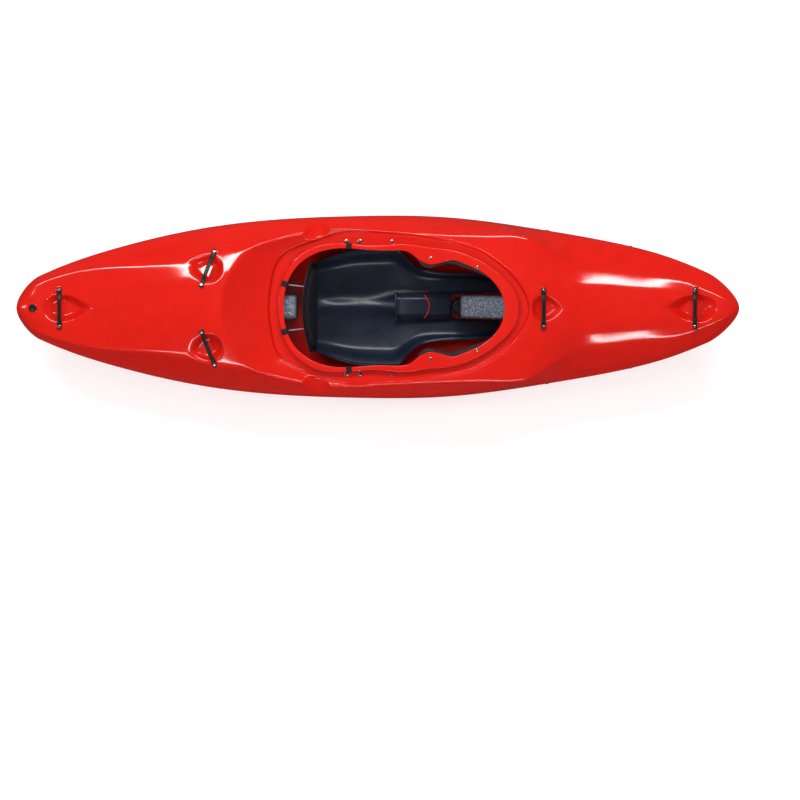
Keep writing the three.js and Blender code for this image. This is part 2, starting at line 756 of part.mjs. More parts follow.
function hullShell() {
  let shell = hullOutside().subtract(bowlSpace(0));
  for (const side of [1, -1]) {
    shell = shell.subtract(sideScoop(side, 0));
  }
  for (const bar of bars) {
    shell = shell.subtract(barHollow(bar, 0));
  }
  shell = shell.subtract(cavity(shellWall));
  for (const bar of bars) {
    for (const { boss, hole } of barBosses(bar)) {
      shell = shell.add(boss).subtract(hole);
    }
  }
  shell = shell.subtract(openingSpace()).add(coaming());
  for (const fixing of fixings) {
    shell = shell.subtract(fixingCut(fixing));
  }
  return shell.subtract(drainCut());
}

// Materials
function finish(color, roughness, metalness) {
  return new THREE.MeshStandardMaterial({ color, roughness, metalness });
}

const redPlastic = finish(0xd81c14, 0.25, 0);
const navyPlastic = finish(0x1a2233, 0.45, 0);
const blackPlastic = finish(0x15161a, 0.5, 0);
const blackFoam = finish(0x1c1d22, 0.9, 0);
const greyFoam = finish(0x6b6f78, 0.95, 0);
const blackFabric = finish(0x17191f, 0.95, 0);
const redCord = finish(0xc8201c, 0.8, 0);
const greyCord = finish(0x9a9da3, 0.8, 0);
const brightSteel = finish(0xc9cbd0, 0.25, 1);
const greyAluminium = finish(0x9fa3a8, 0.4, 1);

const kayak = new THREE.Group();

function piece(name, geometry, material) {
  const mesh = new THREE.Mesh(geometry, material);
  mesh.name = name;
  kayak.add(mesh);
}

piece("hull_shell", toGeometry(hullShell()), redPlastic);

// Seat pan: a moulded skin with two hip hollows, a ridge between the legs and a foot along each hollow.
// Two hangers hold its sides.
const seatAft = -222;
const seatFore = 440;
const seatLength = seatFore - seatAft;
const seatSkin = 5;
const seatHalfWidth = 196;
const seatSideHeight = 225;
const seatRidgeHeight = 105;
const seatRidgeHalfWidth = 30;
const seatHollowHeight = 80;
const seatFlange = 14;
const seatStations = 18;
const skidInner = 58;
const skidOuter = 78;
const skidAft = -90;
const skidFore = 325;
const notchHalfWidth = 50;
const pillarLap = 142;
const notchMargin = 4;
const capLength = 30;
const frontPillarAft = seatFore - pillarLap;
const notchAft = frontPillarAft - capLength - notchMargin;
const hangerAft = 18;
const hangerFore = 84;
const hangerInner = 214;
const hangerOuter = 246;
const hangerWall = 5;
const hangerDrop = 30;
const slideTravel = 45;

const seatWidthShares = [
  [0, 0.76], [0.2, 0.96], [0.379, 1], [0.447, 0.96], [0.5, 0.8], [0.553, 0.66], [0.63, 0.58],
  [0.84, 0.54], [1, 0.5],
];
const seatSideShares = [
  [0, 0.53], [0.127, 0.78], [0.252, 0.95], [0.4, 1], [0.46, 0.97], [0.51, 0.78], [0.553, 0.6],
  [0.62, 0.5], [0.74, 0.44], [0.841, 0.4], [1, 0.38],
];
const seatHollowShares = [
  [0, 0.75], [0.101, 0.46], [0.252, 0.4], [0.379, 0.47], [0.505, 0.75], [0.673, 1], [0.841, 0.93],
  [1, 0.87],
];
const seatRidgeShares = [
  [0, 0.6], [0.168, 0.44], [0.337, 0.5], [0.463, 0.8], [0.631, 1], [0.841, 0.84], [1, 0.76],
];
const seatSpreadShares = [[0, 0.3], [0.3, 0.3], [0.463, 0.6], [0.631, 1], [1, 1]];

const seatWidthLine = splineThrough(seatWidthShares);
const seatSideLine = splineThrough(seatSideShares);
const seatHollowLine = splineThrough(seatHollowShares);
const seatRidgeLine = splineThrough(seatRidgeShares);
const seatSpreadLine = splineThrough(seatSpreadShares);

function alongSeat(x) {
  return (x - seatAft) / seatLength;
}

function seatRidgeAt(x) {
  return seatRidgeHeight * seatRidgeLine(alongSeat(x));
}

function seatHollowAt(x) {
  return seatHollowHeight * seatHollowLine(alongSeat(x));
}

// One section of the seat: its upper face from starboard to port, and its lower face back.
function seatSection(x) {
  const wide = seatHalfWidth * seatWidthLine(alongSeat(x));
  const side = seatSideHeight * seatSideLine(alongSeat(x));
  const hollow = seatHollowAt(x);
  const ridge = seatRidgeAt(x);
  const spread = seatRidgeHalfWidth * seatSpreadLine(alongSeat(x));
  const controls = [
    [0, ridge],
    [spread, ridge],
    [spread + wide * 0.16, hollow],
    [wide * 0.62, hollow],
    [wide * 0.9, hollow + (side - hollow) * 0.05],
    [wide, hollow + (side - hollow) * 0.55],
    [wide + seatFlange * 0.3, side],
    [wide + seatFlange, side],
  ];
  return skinRing(x, smoothLegs(controls, 1), seatSkin);
}

// A closed ring from half an upper line: mirrored, thickened downwards, at a place along the boat.
function skinRing(x, half, thickness) {
  const upper = half.slice(1).reverse().map(([y, z]) => [-y, z]).concat(half);
  const lower = upper.map(([y, z], i) => {
    const before = upper[Math.max(i - 1, 0)];
    const after = upper[Math.min(i + 1, upper.length - 1)];
    const along = new THREE.Vector2(after[0] - before[0], after[1] - before[1]).normalize();
    return [y + along.y * thickness, z - along.x * thickness];
  });
  return upper.concat(lower.reverse()).map(([y, z]) => new THREE.Vector3(x, y, z));
}

// A loft of upright four-sided frames: rows of [x, inner y, outer y, low z, high z].
function frameLoft(rows) {
  return loft(rows.map(([x, y0, y1, z0, z1]) => [
    new THREE.Vector3(x, y0, z0),
    new THREE.Vector3(x, y1, z0),
    new THREE.Vector3(x, y1, z1),
    new THREE.Vector3(x, y0, z1),
  ]));
}

// A foot under one hollow, which slides on the hull's flat floor.
function seatSkid(side) {
  const rows = [0, 0.2, 0.4, 0.6, 0.8, 1].map((share) => {
    const x = skidAft + share * (skidFore - skidAft);
    return [x, side * skidInner, side * skidOuter, shellWall + seatGap, seatHollowAt(x) - seatSkin / 2];
  });
  return toSolid(frameLoft(rows));
}

// A hanger: a ledge on the seat's flange, a web up from it and a slotted tab under the deck.
const hangerTop = rimHeight(seatBoltPlace) - channelDepth - hangerDrop;
const hangerShares = [0, 0.25, 0.5, 0.75, 1];
const flangeHeights = hangerShares.map((share) => {
  const x = hangerAft + (hangerFore - hangerAft) * share;
  return seatSideHeight * seatSideLine(alongSeat(x));
});
const hangerSeat = Math.max(...flangeHeights) + seatGap;

function seatHanger(side) {
  const edge = seatHalfWidth + seatFlange * 0.4;
  const web = block(
    new THREE.Vector3(hangerAft, side * hangerInner, hangerSeat),
    new THREE.Vector3(hangerFore, side * (hangerInner + hangerWall), hangerTop),
  );
  const ledge = block(
    new THREE.Vector3(hangerAft, side * edge, hangerSeat),
    new THREE.Vector3(hangerFore, side * (hangerInner + hangerWall), hangerSeat + hangerWall),
  );
  const tab = block(
    new THREE.Vector3(hangerAft, side * hangerInner, hangerTop - hangerWall),
    new THREE.Vector3(hangerFore, side * hangerOuter, hangerTop),
  );
  const hanger = [web, ledge, tab].map(orderedSolid).reduce((joined, next) => joined.add(next));
  const bolt = fixingNamed(side > 0 ? "seat_bolt_port" : "seat_bolt_starboard");
  return hanger.subtract(boltSlot(bolt, seatBolt.shank + screwGap, slideTravel));
}

// A solid from a geometry whose corners may have been given mirrored.
function orderedSolid(geometry) {
  const bare = geometry.clone();
  const place = bare.attributes.position;
  const vertices = [];
  for (let i = 0; i < place.count; i += 1) {
    vertices.push(new THREE.Vector3().fromBufferAttribute(place, i));
  }
  const triangles = [];
  for (let i = 0; i < bare.index.count; i += 3) {
    triangles.push([bare.index.getX(i), bare.index.getX(i + 1), bare.index.getX(i + 2)]);
  }
  return toSolid(closedGeometry(vertices, triangles));
}

// An upright slot that a bolt passes while its piece slides.
function boltSlot(fixing, radius, travel) {
  const low = new THREE.Vector3(0, -radius, -highest);
  const high = new THREE.Vector3(travel, radius, highest);
  const path = block(low, high);
  path.translate(fixing.at.x, fixing.at.y, 0);
  const start = rod(radius, -highest, highest, fixing.at, upward, boltSides);
  const end = rod(radius, -highest, highest, fixing.at.clone().setX(fixing.at.x + travel), upward, boltSides);
  return toSolid(path).add(toSolid(start)).add(toSolid(end));
}

const fixingNamed = (name) => fixings.find((fixing) => fixing.name === name);

// Leg lifter: a tongue over the seat's ridge, hinged on a pin at its aft end
const lifterHinge = 66;
const lifterFore = notchAft - notchMargin;
const lifterHalfWidth = 46;
const lifterSkin = 4;
const lifterRise = 1.5;
const lifterEdgeDrop = 11;
const lifterBarrel = 5;
const lifterPinRadius = 2;
const lugThickness = 4;
const lugReach = 6;
const lifterPivot = new THREE.Vector3(lifterHinge, 0, seatRidgeAt(lifterHinge) + lifterBarrel + seatGap * 2);
const sideways = new THREE.Vector3(0, 1, 0);

function seatLug(side) {
  const y0 = side * (lifterHalfWidth + seatGap * 2);
  const y1 = side * (lifterHalfWidth + seatGap * 2 + lugThickness);
  const low = new THREE.Vector3(lifterHinge - lugReach, y0, seatHollowAt(lifterHinge) - seatSkin / 2);
  const high = new THREE.Vector3(lifterHinge + lugReach, y1, lifterPivot.z + lifterPinRadius * 2);
  return orderedSolid(block(low, high));
}

// The pan with all that is moulded to it. Slivers left by its cuts are merged.
function seatPan() {
  const stationAt = (i) => seatAft + (seatLength * i) / seatStations;
  const rings = Array.from({ length: seatStations + 1 }, (_, i) => seatSection(stationAt(i)));
  let pan = toSolid(thinLoft(rings));
  for (const side of [1, -1]) {
    pan = pan.add(seatSkid(side)).add(seatLug(side));
  }
  const notch = block(
    new THREE.Vector3(notchAft, -notchHalfWidth, -overrun),
    new THREE.Vector3(seatFore + overrun, notchHalfWidth, highest),
  );
  const pinHole = rod(lifterPinRadius + screwGap, -highest, highest, lifterPivot, sideways, boltSides);
  pan = pan.subtract(toSolid(notch)).subtract(toSolid(pinHole));
  return pan.asOriginal().simplify(sliverSize);
}

// The lifter's section, as shares of its half width and of the drop at its edges.
const lifterProfileShares = [[0, 0], [0.6, 0], [0.85, 0.35], [1, 1]];

function lifterDrop(y) {
  const across = Math.abs(y) / lifterHalfWidth;
  let k = 1;
  while (k < lifterProfileShares.length - 1 && across > lifterProfileShares[k][0]) {
    k += 1;
  }
  const [x0, d0] = lifterProfileShares[k - 1];
  const [x1, d1] = lifterProfileShares[k];
  return lifterEdgeDrop * (d0 + ((d1 - d0) * (across - x0)) / (x1 - x0));
}

function legLifter() {
  const stations = 8;
  const rings = Array.from({ length: stations + 1 }, (_, i) => {
    const x = lifterHinge + ((lifterFore - lifterHinge) * i) / stations;
    const top = seatRidgeAt(x) + lifterSkin + lifterRise + (i === 0 ? lifterBarrel * 0.6 : 0);
    const half = lifterProfileShares.map(([across, drop]) => {
      return [lifterHalfWidth * across, top - lifterEdgeDrop * drop];
    });
    return skinRing(x, half, lifterSkin);
  });
  const barrel = rod(lifterBarrel, -lifterHalfWidth, lifterHalfWidth, lifterPivot, sideways, 12);
  const hole = rod(lifterPinRadius + screwGap, -highest, highest, lifterPivot, sideways, boltSides);
  return toSolid(thinLoft(rings)).add(toSolid(barrel)).subtract(toSolid(hole));
}

const pinReach = lifterHalfWidth + lugThickness + seatGap * 2;
piece("seat_pan", toGeometry(seatPan()), navyPlastic);
piece("seat_hanger_port", toGeometry(seatHanger(1)), blackPlastic);
piece("seat_hanger_starboard", toGeometry(seatHanger(-1)), blackPlastic);
piece("leg_lifter", toGeometry(legLifter()), navyPlastic);
piece("lifter_pin", rod(lifterPinRadius, -pinReach, pinReach, lifterPivot, sideways, boltSides), brightSteel);

// Red cord over the leg lifter
const liftCordRadius = 2.5;
const liftCordPlace = 168;
const liftCordBow = 18;
const liftCordSteps = 14;

function liftCord() {
  const points = Array.from({ length: liftCordSteps + 1 }, (_, i) => {
    const t = (2 * i) / liftCordSteps - 1;
    const x = liftCordPlace + liftCordBow * (1 - t * t);
    const y = t * lifterHalfWidth * 0.9;
    const top = seatRidgeAt(x) + lifterSkin + lifterRise - lifterDrop(y);
    return new THREE.Vector3(x, y, top + liftCordRadius * 1.5);
  });
  return cordTube(points, liftCordRadius);
}

function cordTube(points, radius) {
  const circle = new THREE.Path().absarc(0, 0, radius, 0, 2 * Math.PI);
  const section = new THREE.Shape(circle.getPoints(8).slice(0, 8));
  const path = new THREE.CatmullRomCurve3(points);
  return new THREE.ExtrudeGeometry(section, { steps: points.length - 1, extrudePath: path });
}

piece("lift_cord", liftCord(), redCord);

// Pillars of foam that stand between the floor and the deck, cut to the inside of the shell
const pillarHalfWidth = 43;
const frontPillarLength = 302;
const frontPillarFore = frontPillarAft + frontPillarLength;
const frontPillarStart = 190;
const frontPillarShoulder = 346;
const frontShoulderPlace = 470;
const frontUndercut = 488;
const rearPillarLap = 45;
const rearPillarShare = 0.7;
const rearPillarFore = cockpitAft + rearPillarLap;
const rearPillarAft = -halfLength * rearPillarShare;
const rearPillarStart = 236;
const rearNeckPlace = cockpitAft - rimRoll;
const rearUndercut = rearNeckPlace - shellWall * 1.6;
const capHalfWidth = 29;
const capHeight = 160;

// A side outline in x and z, thickened across the boat about its middle.
function sidewaysPlate(outline, width) {
  const shape = new THREE.Shape(outline.map(([x, z]) => new THREE.Vector2(x, z)));
  const matrix = new THREE.Matrix4().makeRotationX(Math.PI / 2).setPosition(0, width / 2, 0);
  return plate(shape, width, matrix);
}

const fillSpace = cavity(shellWall + seatGap);

function frontPillar() {
  const outline = [
    [frontPillarAft, -overrun],
    [frontPillarFore, -overrun],
    [frontPillarFore, highest],
    [frontUndercut + shellWall * 2, highest],
    [frontUndercut, frontPillarShoulder + shellWall],
    [frontShoulderPlace, frontPillarShoulder],
    [(frontPillarAft * 2 + frontShoulderPlace) / 3, frontPillarStart + overrun],
    [frontPillarAft, frontPillarStart],
  ];
  return toSolid(sidewaysPlate(outline, pillarHalfWidth * 2)).intersect(fillSpace);
}

function rearPillar() {
  const outline = [
    [rearPillarAft, -overrun],
    [rearPillarFore, -overrun],
    [rearPillarFore, rearPillarStart],
    [rearNeckPlace, rearPillarStart + shellWall],
    [rearUndercut, rearPillarStart + shellWall],
    [rearUndercut - shellWall, highest],
    [rearPillarAft, highest],
  ];
  return toSolid(sidewaysPlate(outline, pillarHalfWidth * 2)).intersect(fillSpace);
}

// The rounded plastic cap on the front pillar's aft end.
function pillarCap() {
  const shape = new THREE.Shape();
  shape.moveTo(0, -capHalfWidth);
  shape.absellipse(0, 0, capLength, capHalfWidth, -Math.PI / 2, Math.PI / 2, false);
  shape.closePath();
  const turn = new THREE.Matrix4().makeRotationZ(Math.PI);
  const matrix = turn.setPosition(frontPillarAft - seatGap, 0, shellWall + seatGap);
  return plate(shape, capHeight, matrix);
}

piece("front_pillar", toGeometry(frontPillar()), greyFoam);
piece("rear_pillar", toGeometry(rearPillar()), greyFoam);
piece("pillar_cap", pillarCap(), blackPlastic);

// Backband: a shell and its padded face, on two ladder straps that run to the ratchets
const bandPlace = -236;
const bandHalfWidth = 158;
const bandBow = 14;
const bandMiddleLow = 152;
const bandMiddleHigh = 294;
const bandEndLow = 180;
const bandEndHigh = 262;
const bandLeanShare = 0.3;
const bandLeanFrom = 200;
const bandShell = 3.5;
const padThickness = 15;
const padSide = 5;
const padInset = 4;
const bandStations = 12;

// A point of the band's plan line and the height of its edges, at a share across it from -1 to 1.
function bandLine(share) {
  const fullness = Math.sqrt(Math.max(0, 1 - share ** 6));
  const low = bandMiddleLow + (bandEndLow - bandMiddleLow) * share ** 2;
  const high = bandMiddleHigh + (bandEndHigh - bandMiddleHigh) * share ** 2;
  const middle = (low + high) / 2;
  const half = ((high - low) / 2) * (0.55 + 0.45 * fullness);
  return { x: bandPlace + bandBow * share ** 2, low: middle - half, high: middle + half };
}

function leanedX(x, z) {
  return x - bandLeanShare * (z - bandLeanFrom);
}

// A slab that follows the band, from a back face to a front face set by a thickness at each point.
function bandSlab(inset, back, frontAt) {
  const upSteps = 5;
  const rings = Array.from({ length: bandStations + 1 }, (_, i) => {
    const share = ((2 * i) / bandStations - 1) * (1 - inset / bandHalfWidth);
    const { x, low, high } = bandLine(share);
    const rise = (high - low - 2 * inset) / upSteps;
    const heights = Array.from({ length: upSteps + 1 }, (_, k) => low + inset + rise * k);
    const rear = heights.map((z) => new THREE.Vector3(leanedX(x, z) + back, share * bandHalfWidth, z));
    const front = heights.map((z, k) => {
      const reach = back + frontAt(share, (2 * k) / upSteps - 1);
      return new THREE.Vector3(leanedX(x, z) + reach, share * bandHalfWidth, z);
    });
    return rear.concat(front.reverse());
  });
  return thinLoft(rings);
}

const padCrown = (across, up) => padSide + (padThickness - padSide) * (1 - across ** 4) * (1 - up ** 4);
piece("backband_shell", bandSlab(0, -bandShell, () => bandShell), blackPlastic);
piece("backband_pad", bandSlab(padInset, seatGap, padCrown), blackFabric);

// A flat strap: a thin upright rectangle carried along a line in plan.
function flatStrap(line, thickness, low, high) {
  const knots = line.map(([x, y]) => new THREE.Vector3(x, y, 0));
  const curve = new THREE.CatmullRomCurve3(knots, false, "centripetal");
  const steps = line.length * 3;
  const rings = Array.from({ length: steps + 1 }, (_, i) => {
    const point = curve.getPoint(i / steps);
    const tangent = curve.getTangent(i / steps);
    const side = new THREE.Vector3(-tangent.y, tangent.x, 0).multiplyScalar(thickness / 2);
    const outer = new THREE.Vector3().addVectors(point, side);
    const inner = new THREE.Vector3().subVectors(point, side);
    const under = [outer, inner].map((v) => v.clone().setZ(low));
    return under.concat([inner, outer].map((v) => v.clone().setZ(high)));
  });
  return loft(rings);
}

const ratchetAft = -124;
const ratchetDeckGap = 0.8;
const ratchetDepth = 27.7;
const ratchetTop = rimHeight(ratchetAft) - channelDepth - shellWall - ratchetDeckGap;
const ratchetLow = ratchetTop - ratchetDepth;
const strapSpread = 222;
const strapThickness = 2;
const strapWidth = 20;
const strapLift = 3;
const strapHeight = ratchetLow + strapLift;
const strapFore = -60;
const bandTravel = 70;
const strapLead = 8;
const strapTurn = ratchetAft - bandTravel - strapLead * 2;

// From the back of the band's end, out under the deck and forward into the ratchet.
function ladderStrap(side) {
  const lap = bandHalfWidth * 0.86;
  const behind = bandShell + strapThickness * 1.4;
  const lean = bandLeanShare * (strapHeight + strapWidth - bandLeanFrom);
  const start = bandPlace + bandBow * 0.7 - lean - behind;
  const line = [
    [start, side * lap],
    [start + behind, side * (bandHalfWidth + strapWidth * 0.3)],
    [strapTurn - strapWidth, side * (strapSpread - strapWidth * 0.4)],
    [strapTurn - strapLead, side * (strapSpread - strapLead * 0.15)],
    [strapTurn, side * strapSpread],
    [strapTurn + strapLead, side * strapSpread],
    [(strapTurn + strapFore) / 2, side * strapSpread],
    [strapFore, side * strapSpread],
  ];
  return flatStrap(line, strapThickness, strapHeight, strapHeight + strapWidth);
}

// Ratchets under the deck: a body with a slot for the strap, and a lever below it
const ratchetFore = -48;
const ratchetInner = 216;
const ratchetOuter = 246;
const slotPlay = 1;
const leverPlace = -117;
const leverDrop = 6;
const leverHeight = ratchetLow - leverDrop;
const leverThickness = 4;
const leverLength = 60;
const leverPinRadius = 2.5;
const earThickness = 4;
const earReach = 6;

function ratchetBody(side) {
  const solidBlock = (x0, y0, z0, x1, y1, z1) => orderedSolid(block(
    new THREE.Vector3(x0, side * y0, z0),
    new THREE.Vector3(x1, side * y1, z1),
  ));
  let body = solidBlock(ratchetAft, ratchetInner, ratchetLow, ratchetFore, ratchetOuter, ratchetTop);
  for (const y0 of [ratchetInner, ratchetOuter - earThickness]) {
    const earLow = leverHeight - earReach;
    const earHigh = ratchetLow + earThickness * 0.25;
    const y1 = y0 + earThickness;
    body = body.add(solidBlock(leverPlace - earReach, y0, earLow, leverPlace + earReach, y1, earHigh));
  }
  const slotInner = strapSpread - strapThickness / 2 - slotPlay;
  const slotOuter = strapSpread + strapThickness / 2 + slotPlay;
  const slotLow = strapHeight - slotPlay;
  const slotHigh = strapHeight + strapWidth + slotPlay;
  const slotAft = ratchetAft - overrun;
  const slotFore = ratchetFore + overrun;
  body = body.subtract(solidBlock(slotAft, slotInner, slotLow, slotFore, slotOuter, slotHigh));
  const pinPlace = new THREE.Vector3(leverPlace, 0, leverHeight);
  const pinHole = rod(leverPinRadius + screwGap, -highest, highest, pinPlace, sideways, boltSides);
  body = body.subtract(toSolid(pinHole));
  for (const end of ["aft", "fore"]) {
    const bolt = fixingNamed(`ratchet_bolt_${end}_${side > 0 ? "port" : "starboard"}`);
    const reach = ratchetBolt.length + seatGap;
    const hole = rod(ratchetBolt.shank + screwGap, -reach, overrun, bolt.at, bolt.out, boltSides);
    body = body.subtract(toSolid(hole));
  }
  return body;
}

function ratchetLever(side) {
  const inner = side * (ratchetInner + earThickness + seatGap);
  const outer = side * (ratchetOuter - earThickness - seatGap);
  const arm = orderedSolid(block(
    new THREE.Vector3(leverPlace, inner, leverHeight - leverThickness / 2),
    new THREE.Vector3(leverPlace + leverLength, outer, leverHeight + leverThickness / 2),
  ));
  const pivot = new THREE.Vector3(leverPlace, 0, leverHeight);
  const outwards = new THREE.Vector3(0, side, 0);
  const pin = rod(leverPinRadius, ratchetInner, ratchetOuter, pivot, outwards, boltSides);
  return arm.add(toSolid(pin));
}

for (const [side, hand] of [[1, "port"], [-1, "starboard"]]) {
  piece(`ladder_strap_${hand}`, ladderStrap(side), blackPlastic);
  piece(`ratchet_body_${hand}`, toGeometry(ratchetBody(side)), blackPlastic);
  piece(`ratchet_lever_${hand}`, toGeometry(ratchetLever(side)), greyAluminium);
}

// Thigh braces: pads under the moulded hooks, which slide along slots when their bolts are slack
const braceStartAngle = 0.29;
const braceEndAngle = 1.12;
const braceInboard = 18;
const braceThickness = 12;
const bracePlay = 1.6;
const braceNeckGap = 2.5;
const braceStations = 14;
const braceTravel = 15;

function thighBrace(side) {
  const rings = Array.from({ length: braceStations + 1 }, (_, i) => {
    const share = i / braceStations;
    const angle = braceStartAngle + (braceEndAngle - braceStartAngle) * share;
    const bump = Math.sin(Math.PI * share) ** 0.6;
    const outer = neckRadius(angle) - neckWall / 2 - braceNeckGap;
    const inner = Math.min(openingRadius(angle) - braceInboard * bump, outer - braceThickness * (0.7 + bump));
    const round = braceThickness * 0.25;
    const profile = [
      [inner, -round], [inner + round, 0], [outer, 0],
      [outer, -braceThickness], [inner + round, -braceThickness], [inner, round - braceThickness],
    ];
    return profile.map(([radius, drop]) => {
      const point = polarPoint(angle, radius, 0);
      point.z = rimHeight(point.x) - rimThickness - bracePlay + drop;
      point.y *= side;
      return point;
    });
  });
  let pad = toSolid(loft(rings));
  for (const end of ["aft", "fore"]) {
    const bolt = fixingNamed(`brace_bolt_${end}_${side > 0 ? "port" : "starboard"}`);
    pad = pad.subtract(boltSlot(bolt, braceBolt.shank + screwGap, braceTravel));
  }
  return pad;
}

// Webbing wrapped over the rim: the two loops behind the seat and the two straps beside it
const webbing = 2;
const webbingWidth = 20;
const webbingPlay = 0.7;
const rearLoopShare = 0.469;
const sideStrapShare = 0.345;
const webbingInside = 24;

// The middle of the straight facet of the rim at a share of a turn from the bow.
function facetAngle(share) {
  return ((Math.floor(share * rimSteps) + 0.5) * 2 * Math.PI) / rimSteps;
}

const rearLoopAngle = facetAngle(rearLoopShare);
const sideStrapAngle = facetAngle(sideStrapShare);

function rimWebbing(angle, side) {
  const gap = webbingPlay + webbing / 2;
  const step = Math.PI / rimSteps;
  const facetAngles = [angle + step, angle - step];
  const facetEnds = (radiusAt) => facetAngles.map((turn) => polarPoint(turn, radiusAt(turn), 0));
  const [ahead, behind] = facetEnds(openingRadius);
  const edge = new THREE.Vector3().addVectors(ahead, behind).multiplyScalar(0.5);
  const along = new THREE.Vector3().subVectors(ahead, behind).normalize();
  const out = new THREE.Vector3(along.y, -along.x, 0);
  const middleOf = ([a, b]) => new THREE.Vector3().addVectors(a, b).multiplyScalar(0.5);
  const lipMiddle = middleOf(facetEnds(lipRadius));
  const width = lipMiddle.sub(edge).dot(out);
  const line = [
    [-gap, -webbingInside], [-gap, -rimThickness],
    [webbing * 0.3 - gap, gap], [webbing * 1.5, gap + webbing * 0.4],
    [width - webbing, gap + webbing * 0.2], [width + gap, 0], [width + gap, -rimRoll],
  ];
  const rings = line.map(([distance, rise], i) => {
    const before = line[Math.max(i - 1, 0)];
    const after = line[Math.min(i + 1, line.length - 1)];
    const run = new THREE.Vector2(after[0] - before[0], after[1] - before[1]);
    run.normalize().multiplyScalar(webbing / 2);
    const corner = (face, end) => {
      const point = edge.clone().addScaledVector(out, distance - face * run.y);
      point.addScaledVector(along, (end * webbingWidth) / 2);
      point.z = rimHeight(point.x) + rise + face * run.x;
      point.y *= side;
      return point;
    };
    return [corner(1, 1), corner(-1, 1), corner(-1, -1), corner(1, -1)];
  });
  return loft(rings);
}

// Elastic cords from the rear loops to the back of the backband
const backCordRadius = 2;
const backCordSpread = 74;

function backCord(side) {
  const from = polarPoint(rearLoopAngle, openingRadius(rearLoopAngle) - webbing * 2 - backCordRadius, 0);
  from.z = rimHeight(from.x) - webbingInside + backCordRadius * 2;
  from.y *= side;
  const share = backCordSpread / bandHalfWidth;
  const height = from.z - overrun * 0.2;
  const back = leanedX(bandLine(share).x, height) - bandShell - backCordRadius / 2;
  const to = new THREE.Vector3(back, side * backCordSpread, height);
  const points = [0, 0.25, 0.5, 0.75, 1].map((along) => new THREE.Vector3().lerpVectors(from, to, along));
  return cordTube(points, backCordRadius);
}

for (const [side, hand] of [[1, "port"], [-1, "starboard"]]) {
  piece(`thigh_brace_${hand}`, toGeometry(thighBrace(side)), blackFoam);
  piece(`rear_loop_${hand}`, rimWebbing(rearLoopAngle, side), blackFabric);
  piece(`rim_strap_${hand}`, rimWebbing(sideStrapAngle, side), blackFabric);
  piece(`back_cord_${hand}`, backCord(side), greyCord);
}

// Grab bars and their screws
function grabBar(bar) {
  const { matrix, span, up } = barFrame(bar);
  const end = span / 2 + barEndLength;
  const steps = 9;
  const seat = bar.rise + seatGap;
  const rings = Array.from({ length: steps + 1 }, (_, i) => {
    const x = -end + (2 * end * i) / steps;
    const inside = Math.min(Math.max((span / 2 - barPadLength / 2 - Math.abs(x)) / barPadLength, 0), 1);
    const lift = seat + barArch * inside * inside * (3 - 2 * inside);
    const closing = i === 0 || i === steps ? 0.6 : 1;
    const half = (barWidth / 2) * closing;
    const round = barThickness * 0.3;
    return [
      [-half + round, 0], [half - round, 0],
      [half, round], [half, barThickness - round],
      [half - round, barThickness], [-half + round, barThickness],
      [-half, barThickness - round], [-half, round],
    ].map(([y, z]) => new THREE.Vector3(x, y, lift + z).applyMatrix4(matrix));
  });
  let solid = toSolid(loft(rings));
  for (const side of [-1, 1]) {
    const place = new THREE.Vector3((side * span) / 2, 0, 0).applyMatrix4(matrix);
    solid = solid.subtract(toSolid(rod(barScrewRadius + screwGap, -overrun, overrun, place, up, boltSides)));
  }
  return solid;
}

function barScrew(bar, side) {
  const { matrix, span, up } = barFrame(bar);
  const place = new THREE.Vector3((side * span) / 2, 0, 0).applyMatrix4(matrix);
  const under = bar.rise + barThickness + seatGap * 2;
  const top = under + barScrewHeadHeight;
  const low = barScrewEndGap - bossDepth * 0.8;
  const profile = [
    [0, low], [barScrewRadius, low], [barScrewRadius, under],
    [barScrewHeadRadius, under], [barScrewHeadRadius * 0.8, top], [0, top],
  ];
  return turned(profile, place, up, holeSides);
}

for (const bar of bars) {
  piece(bar.name, toGeometry(grabBar(bar)), blackPlastic);
  piece(`${bar.name}_screw_a`, barScrew(bar, -1), brightSteel);
  piece(`${bar.name}_screw_b`, barScrew(bar, 1), brightSteel);
}

// Drain plug: a slotted head on a thread
function drainPlug() {
  const under = -faceDepth * 2 + seatGap;
  const profile = [
    [0, -drainThreadLength], [drainThreadRadius, -drainThreadLength], [drainThreadRadius, under],
    [drainHeadRadius, under], [drainHeadRadius, under + drainHeadHeight * 0.6],
    [drainHeadRadius * 0.8, under + drainHeadHeight], [0, under + drainHeadHeight],
  ];
  const slot = block(
    new THREE.Vector3(-drainHeadRadius * 0.6, -faceDepth * 1.5, under + drainHeadHeight * 0.5),
    new THREE.Vector3(drainHeadRadius * 0.6, faceDepth * 1.5, under + drainHeadHeight * 2),
  );
  slot.translate(drainSeat.x, drainSeat.y, drainSeat.z);
  return toSolid(turned(profile, drainSeat, upward, boltSides * 2)).subtract(toSolid(slot));
}

piece("drain_plug", toGeometry(drainPlug()), blackPlastic);

// Bolts through the shell: a domed head outside, and a nut inside where one is named
const nutHeight = 5;
const nutted = ["rail_bolt", "seat_bolt", "brace_bolt"];

function shellBolt(fixing) {
  const { head, headHeight, shank, length } = fixing.size;
  const hasNut = nutted.some((name) => fixing.name.startsWith(name));
  const under = seatGap - faceDepth;
  const nutRadius = shank * 1.8;
  const nut = [[nutRadius, -length], [nutRadius, nutHeight - length], [shank, nutHeight - length]];
  const profile = [
    [0, -length],
    ...(hasNut ? nut : [[shank, -length]]),
    [shank, under], [head, under], [head, under + headHeight * 0.4],
    [head * 0.6, under + headHeight], [0, under + headHeight],
  ];
  return turned(profile, fixing.at, fixing.out, boltSides);
}

for (const fixing of fixings) {
  piece(fixing.name, shellBolt(fixing), brightSteel);
}

